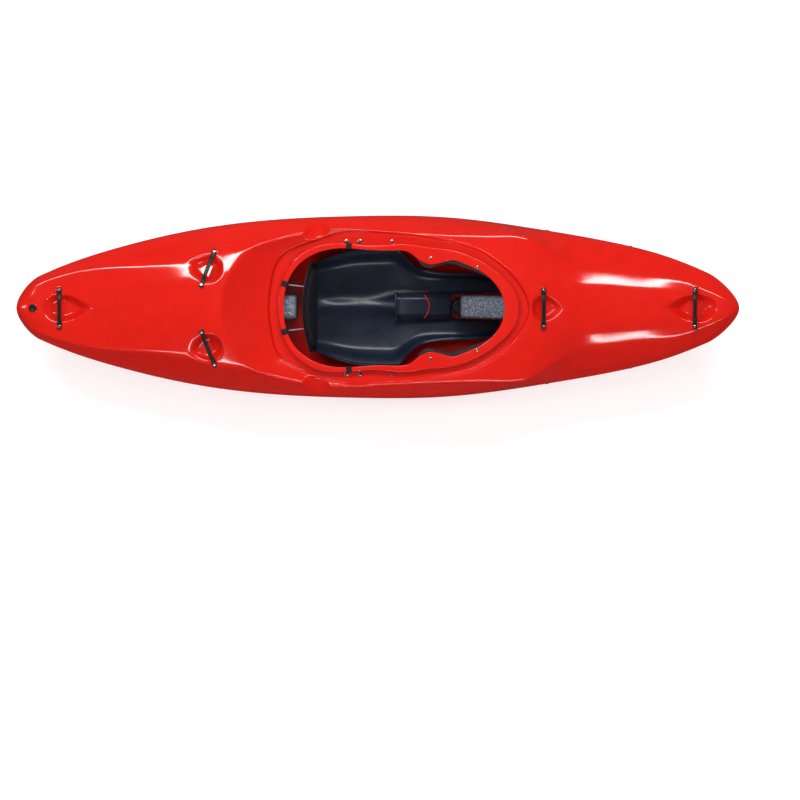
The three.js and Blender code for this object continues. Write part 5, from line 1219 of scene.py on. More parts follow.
notch_corner = NOTCH_AFT + NOTCH_ROUND
seat_x = np.concatenate([np.linspace(SEAT_AFT, NOTCH_AFT, 110), np.linspace(NOTCH_AFT, notch_corner, 9)[1:],
                         np.linspace(notch_corner, SEAT_FORE, 36)[1:]])
port_half = seat_grid(seat_x, INNER, OUTER)
seat_quads = grid_faces(*port_half.shape[:2])
column, station = seat_quads[:, 0] // len(seat_x), seat_quads[:, 0] % len(seat_x)
outside_notch = ~((column < INNER) & (seat_x[station] >= NOTCH_AFT))
seat_points = np.concatenate([(port_half * np.array([1, side, 1])).reshape(-1, 3) for side in SIDES.values()])
seat_faces = np.concatenate([seat_quads[outside_notch][:, ::-1],
                             seat_quads[outside_notch] + port_half[..., 0].size])
seat = rounded(thick_skin("seat", seat_points, seat_faces, SEAT_SKIN), SEAT_ROUND)
print("seat", len(seat.data.polygons), "faces")

# %% [markdown]
# The seat stands on two skids and hangs from the rim by a bent hanger on each side. They are hidden, but a
# look into the cockpit from a low angle meets them, so they are boxes with rounded edges, carried along
# where they have to follow the hollow of the seat.

# %% Skids and hangers
SKID_AFT, SKID_FORE, SKID_INNER, SKID_OUTER, SKID_LOW = -90.0, 325.0, 58.0, 78.0, 5.4
LUG_X, LUG_AFT, LUG_FORE, LUG_INNER, LUG_OUTER, LUG_RISE = 66.0, 60.0, 72.0, 46.6, 50.6, 9.6
HANGER_AFT, HANGER_FORE, HANGER_SLOT, HANGER_WALL = 18.0, 84.0, 48.0, 5.0


def ledge(low, high):
    """A grid of a box between two corners, as a loop of four long faces with both ends closed."""
    (x0, y0, z0), (x1, y1, z1) = low, high
    loop = [(y0, z0), (y1, z0), (y1, z1), (y0, z1)]
    return closed_ends(np.array([[(x, y, z) for y, z in loop] for x in (x0, x1)], float))


def skid(side):
    """The foot under one hollow: upright frames between the flat floor and the hollow above them."""
    x = np.linspace(SKID_AFT, SKID_FORE, 24)
    inner, outer = side * SKID_INNER, side * SKID_OUTER
    top, low = hollow_floor(x) - SEAT_SKIN * 0.7, np.full_like(x, SKID_LOW)
    corners = [(inner, low), (outer, low), (outer, top), (inner, top)]
    return closed_ends(np.stack([np.stack([x, np.full_like(x, y), z], -1) for y, z in corners], 1))


seat_bolt_x = 52.0
hanger_high = float(rim_height(seat_bolt_x)) - CHANNEL_DEPTH - 30
hanger_low = SEAT_SIDE * float(seat_side(seat_share(np.linspace(HANGER_AFT, HANGER_FORE, 5))).max()) + 0.3
hanger_shelf, hanger_sill = hanger_high - HANGER_WALL, hanger_low + HANGER_WALL
lug_low, lug_high = float(hollow_floor(LUG_X)) - 2.5, float(ridge_height(LUG_X)) + LUG_RISE
HANGER_PARTS = [
    (214, 219, HANGER_FORE, hanger_low, hanger_high), (202, 219, HANGER_FORE, hanger_low, hanger_sill),
    (214, 232, HANGER_FORE, hanger_shelf, hanger_high), (239.6, 246, HANGER_FORE, hanger_shelf, hanger_high),
    (232, 239.6, HANGER_SLOT, hanger_shelf, hanger_high)]
frames, hangers = [], {}
for hand, side in SIDES.items():
    frames.append(skid(side))
    frames.append(ledge((LUG_AFT, side * LUG_INNER, lug_low), (LUG_FORE, side * LUG_OUTER, lug_high)))
    parts = [ledge((HANGER_AFT, side * inner, low), (fore, side * outer, high))
             for inner, outer, fore, low, high in HANGER_PARTS]
    hangers[side] = rounded(joined(f"hanger_{hand}", parts, smooth=False), 0.8)
seat_frame = rounded(joined("seat_frame", frames, smooth=False), 1.0)
print("seat frame", len(seat_frame.data.polygons), "hanger", len(hangers[1].data.polygons))

# %% [markdown]
# A thin bead of the moulding runs along the middle of the seat, over its ridge, where the mould parted.

# %% Seam of the seat
SEAM_RADIUS, SEAM_ENDS = 0.9, (SEAT_AFT + 6, 62.0)

seam_x = np.linspace(*SEAM_ENDS, 90)
seam_path = np.column_stack([seam_x, np.zeros_like(seam_x), ridge_height(seam_x) + 0.1])
seat_seam = joined("seat_seam", [closed_ends(*swept(seam_path, circle(SEAM_RADIUS, 10)))])
print("seam", len(seat_seam.data.polygons), "faces")

# %% [markdown]
# ### Leg lifter and its cord
# The lifter is a tongue that lies over the ridge, with its edges turned down and a round barrel at the
# pin. A red cord, fixed near both edges, bows forward across it. A plane could be bent to such a tongue, but
# this one follows the ridge at every point, because its height is the ridge's own formula and a little more.

# %% Leg lifter
LIFTER_AFT, LIFTER_FORE, LIFTER_HALF, LIFTER_SKIN = 66.0, 260.0, 46.0, 4.0
LIFTER_CORNER, LIFTER_DROP, LIFTER_GAP = 16.0, 11.0, 1.5
LIFTER_PIVOT = float(ridge_height(LIFTER_AFT)) + 5.6


def lifter_drop(across):
    """The turn-down of the tongue's edges: nothing over the middle, and a quarter round at each side."""
    share = (np.abs(across) / LIFTER_HALF - 0.55) / 0.6
    return LIFTER_DROP * smoothstep(share) / smoothstep(0.75)


def lifter_height(x, across):
    """Height of the tongue's upper face: the ridge below it, its skin, and the drop at its edges."""
    return ridge_height(x) + LIFTER_SKIN + LIFTER_GAP - lifter_drop(across)


lifter_x = np.linspace(LIFTER_AFT, LIFTER_FORE, 66)
corner = np.clip(lifter_x - (LIFTER_FORE - LIFTER_CORNER), 0, LIFTER_CORNER)
lifter_wide = LIFTER_HALF - LIFTER_CORNER + np.sqrt(np.clip(LIFTER_CORNER ** 2 - corner ** 2, 0, None))
lifter_y = np.linspace(-1, 1, 45)[:, None] * lifter_wide
lifter_z = lifter_height(lifter_x, lifter_y) + 3.0 * (1 - smoothstep((lifter_x - LIFTER_AFT) / 14))
lifter_face = np.stack([np.broadcast_to(lifter_x, lifter_y.shape), lifter_y, lifter_z], -1)
lifter_quads = grid_faces(*lifter_y.shape)[:, ::-1]
lifter = rounded(thick_skin("leg_lifter_tongue", lifter_face, lifter_quads, LIFTER_SKIN), 1.2)
print("lifter", len(lifter.data.polygons), "faces")

# %% [markdown]
# The tongue turns on a pin through its barrel. The cord is laid of three strands, so its outline is not quite
# round: a cylinder would look like wire.

# %% Barrel, pin and cord
PIN_PLACE, PIN_AXIS = (LIFTER_AFT, 0, LIFTER_PIVOT), (0, 1, 0)
BARREL_PROFILE = [(2.2, -45), (4.2, -45), (5, -44), (5, 44), (4.2, 45), (2.2, 45)]
PIN_PROFILE = [(1.6, -50.4), (2, -50), (2, 50), (1.6, 50.4)]
LIFT_CORD_X, LIFT_CORD_BOW, LIFT_CORD_HALF, LIFT_CORD_RADIUS = 168.0, 18.0, LIFTER_HALF * 0.9, 2.5

barrel = joined("lifter_barrel", [turned(BARREL_PROFILE, PIN_PLACE, PIN_AXIS)])
lifter_pin = joined("lifter_hinge_pin", [turned(PIN_PROFILE, PIN_PLACE, PIN_AXIS, 20)])
t = np.linspace(-1, 1, 41)
cord_x = LIFT_CORD_X + LIFT_CORD_BOW * (1 - t ** 2)
cord_path = np.column_stack([cord_x, t * LIFT_CORD_HALF, lifter_height(cord_x, t * LIFT_CORD_HALF) + 3.0])
lift_cord = joined("lift_cord_braid", [rope(cord_path, LIFT_CORD_RADIUS)])
print("barrel", len(barrel.data.polygons), "cord", len(lift_cord.data.polygons))

# %% [markdown]
# ### Backband
# A thin plastic shell carries a padded face. Both follow one bowed and leaned sheet. A bend modifier would
# curve a flat sheet, but would shorten it too, and here the width is known. The pad is sewn round its edge,
# so it is full in the middle and thin at the rim.

# %% Backband sheet
BAND_X, BAND_BOW, BAND_HALF, BAND_SHELL = -236.0, 14.0, 158.0, 3.5
BAND_LOW, BAND_HIGH, BAND_LEAN, BAND_LEVEL = 152.0, 294.0, 0.3, 200.0


def band_x(share, z):
    """How far forward the band lies: bowed across it, and leaned aft with the height."""
    return BAND_X + BAND_BOW * share ** 2 - BAND_LEAN * (z - BAND_LEVEL)


def band_edges(share):
    """Lower and upper edge of the band at a share across it: lower and narrower towards its ends."""
    full = np.sqrt(np.clip(1 - share ** 6, 0, None))
    low, high = BAND_LOW + 28 * share ** 2, BAND_HIGH - 32 * share ** 2
    half = (high - low) / 2 * (0.55 + 0.45 * full)
    return (low + high) / 2 - half, (low + high) / 2 + half


def band_sheet(share, up, inset, ahead):
    """A point of the band: across by share and up by share, kept inside an inset, and pushed ahead."""
    share = share * (1 - inset / BAND_HALF)
    low, high = band_edges(share)
    z = low + inset + (high - low - 2 * inset) * (up + 1) / 2
    return np.stack([band_x(share, z) + ahead, share * BAND_HALF, z], -1)


band_share, band_up = np.meshgrid(np.linspace(-1, 1, 81), np.linspace(-1, 1, 33), indexing="ij")
shell_face = band_sheet(band_share, band_up, 0.0, -0.1)
band_shell = rounded(thick_skin("band_shell", shell_face, grid_faces(*band_share.shape), 3.3), 1.2)
print("band shell", len(band_shell.data.polygons), "faces")

# %% [markdown]
# The pad starts as a crowned cushion with its rim closed. Blender remeshes it into even faces, because cloth
# folds badly over long thin ones, and blows it up a little from inside. No point may move further than a
# cap, so the pad keeps its size, and the result is kept as the mesh.

# %% Backband pad
PAD_INSET, PAD_GAP, PAD_EDGE, PAD_CROWN = 5.0, 0.6, 2.5, 11.0
CLOTH_VOXEL, CLOTH_PRESSURE, CLOTH_CAP, CLOTH_FRAMES = 5.0, 4.0, 5.0, 20


def pillow(name, thickness, crown):
    """A closed cushion between the shell's face and a crowned front, both on one grid, walled at the rim."""
    swell = (1 - band_share ** 4) * (1 - band_up ** 4)
    back = band_sheet(band_share, band_up, PAD_INSET, PAD_GAP)
    front = band_sheet(band_share, band_up, PAD_INSET, PAD_GAP + thickness + (crown - thickness) * swell)
    rows, columns = band_share.shape
    quads = grid_faces(rows, columns)
    loop = np.concatenate([
        np.arange(columns), np.arange(1, rows) * columns + columns - 1,
        (rows - 1) * columns + np.arange(columns - 2, -1, -1), np.arange(rows - 2, 0, -1) * columns])
    after = np.roll(loop, -1)
    under = rows * columns
    walls = np.stack([loop, after, after + under, loop + under], -1)
    points = np.concatenate([front.reshape(-1, 3), back.reshape(-1, 3)])
    return sealed(mesh_object(name, points, [quads, quads[:, ::-1] + under, walls[:, ::-1]]))


def cloth_swell(thing):
    """Remesh a closed shape, blow it up a little as cloth, hold each point to a cap, and keep the result."""
    scene = bpy.context.scene
    remesh = thing.modifiers.new("voxels", "REMESH")
    remesh.mode, remesh.voxel_size = "VOXEL", CLOTH_VOXEL * MM
    graph = bpy.context.evaluated_depsgraph_get()
    thing.data = bpy.data.meshes.new_from_object(thing.evaluated_get(graph))
    thing.modifiers.clear()
    start = np.empty(len(thing.data.vertices) * 3)
    thing.data.vertices.foreach_get("co", start)
    cloth = thing.modifiers.new("swell", "CLOTH")
    cloth.settings.use_pressure = True
    cloth.settings.uniform_pressure_force = CLOTH_PRESSURE
    cloth.settings.effector_weights.gravity = 0
    cloth.settings.quality = 6
    for number in range(1, CLOTH_FRAMES + 1):
        scene.frame_set(number)
    graph = bpy.context.evaluated_depsgraph_get()
    moved = np.empty_like(start)
    swollen = bpy.data.meshes.new_from_object(thing.evaluated_get(graph))
    swollen.vertices.foreach_get("co", moved)
    thing.modifiers.clear()
    scene.frame_set(1)
    shift = (moved - start).reshape(-1, 3)
    length = np.linalg.norm(shift, axis=1, keepdims=True)
    shift *= np.minimum(1, CLOTH_CAP * MM / np.maximum(length, 1e-9))
    thing.data.vertices.foreach_set("co", (start.reshape(-1, 3) + shift).ravel())
    thing.data.polygons.foreach_set("use_smooth", np.ones(len(thing.data.polygons), bool))
    thing.data.update()


band_pad = pillow("band_pad", PAD_EDGE, PAD_CROWN)
cloth_swell(band_pad)
smoother = band_pad.modifiers.new("smoother", "SUBSURF")
smoother.levels = smoother.render_levels = 1
print("pad", len(band_pad.data.polygons), "faces")

# %% [markdown]
# The seam of the cover is hidden under a piping: a thin round cord, sewn in all round the pad. It is carried
# along the same sheet, so it needs no fitting to the pad.

# %% Backband piping
PIPING_RADIUS, PIPING_INSET, PIPING_AHEAD = 1.6, 4.0, 2.2


def round_the_rim(across, upright):
    """Shares across and up for a path once round the edge of the band, from its lower starboard corner."""
    run, climb = np.linspace(-1, 1, across), np.linspace(-1, 1, upright)
    share = np.concatenate([run, np.full(upright, 1.0), run[::-1], np.full(upright, -1.0)])
    up = np.concatenate([np.full(across, -1.0), climb, np.full(across, 1.0), climb[::-1]])
    return share, up


rim_path = band_sheet(*round_the_rim(90, 26), PIPING_INSET, PIPING_AHEAD)
apart = np.linalg.norm(np.diff(rim_path, axis=0), axis=1) > 0.3
piping_path = rim_path[np.concatenate([[True], apart])]
piping_rings = swept(piping_path, circle(PIPING_RADIUS, 10), (1, 0, 0.3))
band_piping = joined("band_piping", [closed_ends(*piping_rings)])
print("piping", len(band_piping.data.polygons), "faces")

# %% [markdown]
# ### Ladder straps
# Each strap has a row of raised rungs on its outer face, which the ratchet's pawl climbs. An array of small
# blocks would give the rungs, but they are moulded with the strap, so its thickness swells at each of them.

# %% Ladder straps
STRAP_LOW, STRAP_WIDE, STRAP_THICK, STRAP_EASE = 229.0, 20.0, 2.0, 6
STRAP_KNOTS = [(-230, 214, 0), (-218, 220.8, 0), (-210, 222, 0), (-202, 222, 0), (-60, 222, 0)]
RUNG_PITCH, RUNG_RISE, STRAP_FACE = 5.0, 0.35, 0.7


def ladder_strap(name, side):
    """An upright strip along a line in plan, thickened a little at every rung."""
    behind = BAND_SHELL + STRAP_THICK * 1.4
    start = BAND_X + BAND_BOW * 0.7 - BAND_LEAN * (STRAP_LOW + STRAP_WIDE - BAND_LEVEL) - behind
    lap = [(start, BAND_HALF * 0.86, 0), (start + behind, BAND_HALF + 6, 0)]
    knots = np.array(lap + STRAP_KNOTS) * np.array([1, side, 1])
    fine = np.arange(0, path_length(knots)[-1], 1.0)
    path = eased(points_at(knots, fine), STRAP_EASE)
    rung = STRAP_FACE + RUNG_RISE * smoothstep((np.cos(2 * np.pi * fine / RUNG_PITCH) - 0.1) / 0.5)
    along = headings(path)
    across = np.stack([-along[:, 1], along[:, 0], 0 * fine], -1)
    low, high = STRAP_LOW + 0.6, STRAP_LOW + STRAP_WIDE - 0.6
    flat = np.full_like(fine, STRAP_FACE)
    outline = [(-flat, low), (flat, low), (flat, low + 3), (rung, low + 4),
               (rung, high - 4), (flat, high - 3), (flat, high), (-flat, high)]
    rows = [path + across * reach[:, None] + np.array([0, 0, height]) for reach, height in outline]
    return rounded(joined(name, [closed_ends(np.stack(rows, 1))]), 0.4, 1)


straps = {side: ladder_strap(f"strap_{hand}", side) for hand, side in SIDES.items()}
print("straps", [len(strap.data.polygons) for strap in straps.values()])

# %% [markdown]
# ### Thigh braces
# Each brace is a foam pad under the hook of the coaming. Its outline follows the neck on the outside and
# bulges past the opening on the inside, and its edges are rounded over. A block with a bevel would have ends
# as thick as its middle. Rings along the rim can shrink towards both ends, as the foam is cut.

# %% Thigh braces
BRACE_START, BRACE_STOP, BRACE_RINGS, BRACE_SIDES = 0.29, 1.12, 90, 40
BRACE_BULGE, BRACE_LEAST, BRACE_HALF, BRACE_GAP = 18.0, 12.0, 5.9, 1.7
GROOVE_DEPTH, GROOVE_PLACE, GROOVE_HALF = 0.8, 7.0, 1.2


def brace_grid(side):
    """Rings of the brace along the rim: a superellipse between the inner and the outer outline."""
    share = np.linspace(0, 1, BRACE_RINGS)
    turn = BRACE_START + (BRACE_STOP - BRACE_START) * share
    bulge = np.sin(np.pi * share) ** 0.6
    outer = neck_radius(turn) - NECK_WALL / 2 - 2.6
    inner = np.minimum(opening_radius(turn) - BRACE_BULGE * bulge, outer - BRACE_LEAST * (0.7 + bulge))
    closing = rounded_end(np.minimum(share, 1 - share) / 0.05) * 0.97 + 0.03
    round_y, round_z = oblong(BRACE_SIDES, 0.45, 0.55)
    middle, half = (inner + outer) / 2, (outer - inner) / 2
    radius = middle[:, None] + half[:, None] * round_y * closing[:, None]
    x = COCKPIT_X + radius * np.cos(turn)[:, None]
    y = radius * np.sin(turn)[:, None] * side
    z = rim_height(x) - RIM_THICK - BRACE_GAP - 6 + BRACE_HALF * round_z * closing[:, None]
    from_groove = (radius - inner[:, None] - GROOVE_PLACE) / GROOVE_HALF
    groove = GROOVE_DEPTH * np.exp(-from_groove ** 2) * (round_z > 0.5)
    return closed_ends(np.stack([x, y, z - groove], -1))


braces = {side: joined(f"brace_pad_{hand}", [brace_grid(side)]) for hand, side in SIDES.items()}
print("braces", [len(brace.data.polygons) for brace in braces.values()])

# %% [markdown]
# ### Webbing and elastic cords
# Four webbing straps are folded over the lip of the coaming. Two short elastic cords run from the pair
# behind the seat down to the backband. Cloth simulation would settle a strap on the rim, but a strap that is
# pulled tight has one line only: up, over and down, which is drawn from the rim's own two outlines.

# %% Webbing
WEB, WEB_WIDE, WEB_PLAY, WEB_COLUMNS = 2.0, 20.0, 0.7, 9
FACETS, REAR_SHARE, SIDE_SHARE = 44, 0.469, 0.345
WEB_HANG = 24.0


def facet_turn(share):
    """The angle of the middle of the facet of the rim at a share of a turn from the bow."""
    return (math.floor(share * FACETS) + 0.5) * 2 * math.pi / FACETS


def web_line(width):
    """The path of a strap over the lip: up inside the opening, across the lip and down past its edge."""
    gap = WEB_PLAY + WEB / 2
    knots = np.array([
        (-gap, -WEB_HANG), (-gap, -RIM_THICK), (WEB * 0.3 - gap, gap), (WEB * 1.5, gap + WEB * 0.4),
        (width - WEB, gap + WEB * 0.2), (width + gap, 0), (width + gap, -RIM_ROLL)])
    return eased(points_at(knots, np.linspace(0, path_length(knots)[-1], 90)), 2)


def facet_edge(radius, ends):
    """Both ends of one facet of an outline in the plan, from the outline's radius at two angles."""
    return np.stack([COCKPIT_X + radius(ends) * np.cos(ends), radius(ends) * np.sin(ends)], -1)


def rim_web(name, share, side):
    """A webbing strap over the lip, on the straight facet of the rim at a share of a turn from the bow."""
    turn = facet_turn(share)
    ends = np.array([turn + math.pi / FACETS, turn - math.pi / FACETS])
    ahead, behind = facet_edge(opening_radius, ends)
    edge, along = (ahead + behind) / 2, (ahead - behind) / np.linalg.norm(ahead - behind)
    out = np.array([along[1], -along[0]])
    line = web_line(float((facet_edge(lip_radius, ends).mean(axis=0) - edge) @ out))
    run = headings(line)
    across = np.linspace(-0.5, 0.5, WEB_COLUMNS) * WEB_WIDE
    edge_round = np.sqrt(np.clip(1 - (np.abs(across) / (WEB_WIDE / 2)) ** 8, 0, None)) * 0.85 + 0.15
    loops = []
    for face, columns in ((1, range(WEB_COLUMNS)), (-1, reversed(range(WEB_COLUMNS)))):
        for column in columns:
            lift = face * WEB / 2 * edge_round[column]
            distance, rise = line[:, 0] - lift * run[:, 1], line[:, 1] + lift * run[:, 0]
            xy = edge + distance[:, None] * out + across[column] * along
            loops.append(np.stack([xy[:, 0], xy[:, 1] * side, rim_height(xy[:, 0]) + rise], -1))
    return joined(name, [closed_ends(np.stack(loops, 1))])


webs = {}
for hand, side in SIDES.items():
    webs[f"rear_loop_{hand}"] = rim_web(f"rear_web_{hand}", REAR_SHARE, side)
    webs[f"rim_strap_{hand}"] = rim_web(f"side_web_{hand}", SIDE_SHARE, side)
print("webbing", len(webs), "straps")

# %% [markdown]
# The elastic cords are braided, and drawn at their length at rest. Their ends move apart when the backband
# slides.

# %% Elastic cords
BACK_CORD_Y, BACK_CORD_RADIUS, BACK_CORD_SAG = 74.0, 2.0, 1.5


def back_cord_path(side):
    """From inside a rear loop to the back of the backband, with the small sag of a slack elastic."""
    turn = facet_turn(REAR_SHARE)
    radius = float(opening_radius(turn)) - WEB * 2 - 2
    start = np.array([COCKPIT_X + radius * math.cos(turn), radius * math.sin(turn) * side, 0])
    start[2] = float(rim_height(start[0])) - WEB_HANG + 4
    height = start[2] - 8
    stop_x = band_x(BACK_CORD_Y / BAND_HALF, height) - BAND_SHELL - 1
    stop = np.array([stop_x, side * BACK_CORD_Y, height])
    t = np.linspace(0, 1, 30)[:, None]
    return start * (1 - t) + stop * t - np.array([0, 0, BACK_CORD_SAG]) * np.sin(np.pi * t)


back_cords = {side: joined(f"elastic_{hand}", [rope(back_cord_path(side), BACK_CORD_RADIUS, 4, 9.0)])
              for hand, side in SIDES.items()}
print("cords", [len(cord.data.polygons) for cord in back_cords.values()])

# %% [markdown]
# ### Grab bars
# Each bar is an arch with flat ends that are screwed to two round bosses of the shell. The section is a
# rounded oblong, and the bosses stand on a fillet in the deck. A block with a bevel and a bend would give a
# bar too, but rings in the bar's own frame keep its waist, its arch and its ends in one formula each.

# %% Grab bars
BAR_THICK, BAR_ARCH, BAR_PAD, BAR_END = 8.0, 5.0, 26.0, 10.0
BAR_RINGS, BAR_SIDES, BAR_ROUND, BAR_WAIST = 120, 32, 8.0, 0.14
BOSS_RADIUS, BOSS_FILLET = 13.0, 6.0


def bar_span(name):
    """The distance between the two screws of a bar."""
    return np.linalg.norm(np.diff(np.array(BAR_TABLE[name]["ends"], float), axis=0))


def bar_grid(name):
    """Rings along a bar in its own frame: flat over the bosses, raised between them, rounded at both ends."""
    bar, (middle, axes) = BAR_TABLE[name], BAR_FRAMES[name]
    span = bar_span(name)
    reach = span / 2 + BAR_END
    x = np.linspace(-reach, reach, BAR_RINGS)
    inside = np.clip((span / 2 - BAR_PAD / 2 - np.abs(x)) / BAR_PAD, 0, 1)
    lift = bar["rise"] + 0.4 + BAR_ARCH * smoothstep(inside)
    close = rounded_end((reach - np.abs(x)) / BAR_ROUND) * 0.96 + 0.04
    waist = 1 - BAR_WAIST * smoothstep(inside * 1.2)
    shape_y, shape_z = oblong(BAR_SIDES, 0.5, 0.55)
    y = shape_y * (BAR_WIDTH / 2 * close * waist)[:, None]
    z = lift[:, None] + BAR_THICK / 2 * (1 + shape_z * (0.55 + 0.45 * close)[:, None])
    local = np.stack([np.broadcast_to(x[:, None], y.shape), y, z], -1)
    return closed_ends(local @ axes + middle)


def bar_end(name, side):
    """Where a bar's end is screwed down, and the direction out of the deck there."""
    middle, axes = BAR_FRAMES[name]
    return middle + axes[0] * side * bar_span(name) / 2, axes[2]


def boss(name, side):
    """A round boss on its fillet, from inside the shell up to the bar."""
    place, up = bar_end(name, side)
    rise = BAR_TABLE[name]["rise"]
    fillet = [(BOSS_RADIUS + BOSS_FILLET * (1 - math.sin(a)), (rise + 2) * (1 - math.cos(a)) - 5)
              for a in np.linspace(0, math.pi / 2, 7)]
    top = [(BOSS_RADIUS, rise - 0.8), (BOSS_RADIUS - 0.8, rise), (3.6, rise), (3.6, rise - 10)]
    return turned(fillet + top, place, up, 40)


def screw_head(place, up, low, radius, height, socket, sides=6):
    """A low domed head with a recess of a given number of sides."""
    dome = [(0.05, low), (radius, low), (radius, low + height * 0.35), (radius * 0.9, low + height * 0.75),
            (radius * 0.7, low + height * 0.95), (socket * 1.05, low + height)]
    recess = [(socket * 1.05, low + height), (socket, low + height - 0.3),
              (socket * 0.96, low + height * 0.35), (0.05, low + height * 0.3)]
    return [turned(dome, place, up, 32), turned(recess, place, up, sides)]


bars = {name: joined(f"{name}_arch", [bar_grid(name)]) for name in BAR_TABLE}
bosses = joined("bar_bosses", [boss(name, side) for name in BAR_TABLE for side in (-1, 1)])
bar_screws = {}
for name, bar in BAR_TABLE.items():
    bar_top = bar["rise"] + BAR_THICK + 0.6
    for side, letter in ((-1, "a"), (1, "b")):
        place, up = bar_end(name, side)
        head = screw_head(place, up, bar_top, 5.6, 2.6, 2.2)
        shank = turned([(3, bar_top), (3, -8.4), (0.05, -8.6)], place, up, 20)
        bar_screws[f"{name}_screw_{letter}"] = joined(f"{name}_fixing_{letter}", head + [shank])
print("bars", len(bars), "screws", len(bar_screws), "boss faces", len(bosses.data.polygons))

# %% [markdown]
# ### Bolts and the drain plug
# The bolts go through the shell: two on each side for the foot rails, two in the channel for each ratchet,
# one for each side of the seat, and two on the lip for each brace. Heads are domed, with a hexagonal socket.
# One head could be linked to every place, but their sizes differ, so one function turns each from its sizes.

# %% Bolts
BOLT_CORE, BOLT_SEAT = 2.9, 0.3


def side_point(x, height):
    """A point on the port side at a height, and the direction straight out of the hull there."""
    y, z = half_section(np.array([x]), np.linspace(0, 9, 400))
    y, z = y[:, 0], z[:, 0]
    k = int(np.argmax(z >= height))
    share = (height - z[k - 1]) / (z[k] - z[k - 1])
    out = np.array([0, z[k] - z[k - 1], y[k - 1] - y[k]])
    return np.array([x, y[k - 1] + share * (y[k] - y[k - 1]), height]), out / np.linalg.norm(out)


def on_rim(x, y, drop):
    """A point at a depth below the rim's line, with straight up as its direction."""
    return np.array([x, y, float(rim_height(x)) - drop]), np.array([0.0, 0.0, 1.0])


SIDE_SPREAD = 236.0
FIXINGS = {
    "rail_bolt_aft": (side_point(HALF * 0.4725, HEIGHT * 0.442), 7.0, 3.0, 24),
    "rail_bolt_fore": (side_point(HALF * 0.704, HEIGHT * 0.504), 7.0, 3.0, 24),
    "ratchet_bolt_aft": (on_rim(-110.0, SIDE_SPREAD, CHANNEL_DEPTH), 8.0, 4.0, 22),
    "ratchet_bolt_fore": (on_rim(-62.0, SIDE_SPREAD, CHANNEL_DEPTH), 8.0, 4.0, 22),
    "seat_bolt": (on_rim(seat_bolt_x, SIDE_SPREAD, CHANNEL_DEPTH), 6.0, 3.0, 48),
    "brace_bolt_aft": (on_rim(189.0, 178.0, 0), 6.0, 3.0, 26),
    "brace_bolt_fore": (on_rim(352.0, 146.0, 0), 6.0, 3.0, 26),
}
bolts, pads = {}, []
for name, ((place, up), head, height, length) in FIXINGS.items():
    shank = [(BOLT_CORE, BOLT_SEAT), (BOLT_CORE, -length + 0.6), (0.05, -length + 0.4)]
    spot_face = [(head + 2.4, -1.6), (head + 1.8, -0.3), (head + 0.9, 0.1), (3.4, 0.1)]
    for hand, side in SIDES.items():
        flip = np.array([1, side, 1])
        at, out = place * flip, up * flip
        parts = screw_head(at, out, BOLT_SEAT, head, height - 0.2, head * 0.42) + [turned(shank, at, out, 20)]
        bolts[f"{name}_{hand}"] = joined(f"{name}_head_{hand}", parts)
        if not name.startswith("brace"):
            pads.append(turned(spot_face, at, out, 32))
print("bolts", len(bolts), "spot faces", len(pads))

# %% [markdown]
# The drain plug at the stern is turned like the bolts, in a round seat of the shell. Its rim has twelve
# grips, made by drawing the radius in a little between them, and a bar on its top is there to turn it by.

# %% Drain plug
PLUG_SIDES, PLUG_GRIPS, GRIP_DEPTH, PLUG_LOW = 96, 12, 0.035, 0.2
drain_x = -HALF + 61.5
drain_seat = np.array([drain_x, 0.0, float(deck_height(drain_x, 0.0)[0])])
straight_up = np.array([0.0, 0.0, 1.0])
seat_profile = [(19.5, -4.5), (17.6, -1.2), (16.4, -0.2), (15.6, 0.0), (10.8, 0.0)]
pads.append(turned(seat_profile, drain_seat, straight_up, 48))
spot_faces = joined("spot_faces", pads)
drain_profile = np.array([
    (10, -17.5), (10, PLUG_LOW), (13.9, PLUG_LOW), (14, PLUG_LOW + 0.5), (14, PLUG_LOW + 3),
    (13.2, PLUG_LOW + 4.2), (12, PLUG_LOW + 4.6), (9.5, PLUG_LOW + 4.7), (8.4, PLUG_LOW + 4.0),
    (0.05, PLUG_LOW + 3.9)])
plug_turn = np.linspace(0, 2 * np.pi, PLUG_SIDES, endpoint=False)
plug_grid, plug_faces = turned(drain_profile, drain_seat, straight_up, PLUG_SIDES)
from_seat = plug_grid - drain_seat
on_the_rim = (drain_profile[:, :1] > 13) & (drain_profile[:, 1:] > PLUG_LOW)
drawn_in = GRIP_DEPTH * (np.cos(PLUG_GRIPS * plug_turn)[None, :] > 0.4)
from_seat[..., :2] *= np.where(on_the_rim, 1 - drawn_in, 1.0)[..., None]
bar_points, bar_faces = ledge((-8.6, -1.5, PLUG_LOW + 3.8), (8.6, 1.5, PLUG_LOW + 4.9))
turn_bar = (bar_points + drain_seat, bar_faces)
drain_plug = joined("drain_plug_head", [(from_seat + drain_seat, plug_faces), turn_bar])
print("drain plug", len(drain_plug.data.polygons), "faces")

# %% [markdown]
# ### Pillars, cap and foot pad
# Foam pillars stand between the floor and the deck. Their sections are oblongs with rounded corners, cut
# to the inside of the shell above and below. A half-round plastic cap closes the aft end of the front one.
# Booleans with the shell would cut them, but they would take on its every facet. Here each column of points
# ends at the height of the finished deck, read from the same functions that made it.

# %% Pillars
PILLAR_HALF, CORNER, PILLAR_SIDES = 43.0, 11.0, 56
FRONT_TOP = [(298, 190), (355.3, 230), (470, 346), (488, 351), (498, 400), (600, 400)]
REAR_TOP = [(-900, 400), (-358, 400), (-353, 241), (-345, 241), (-289, 236)]


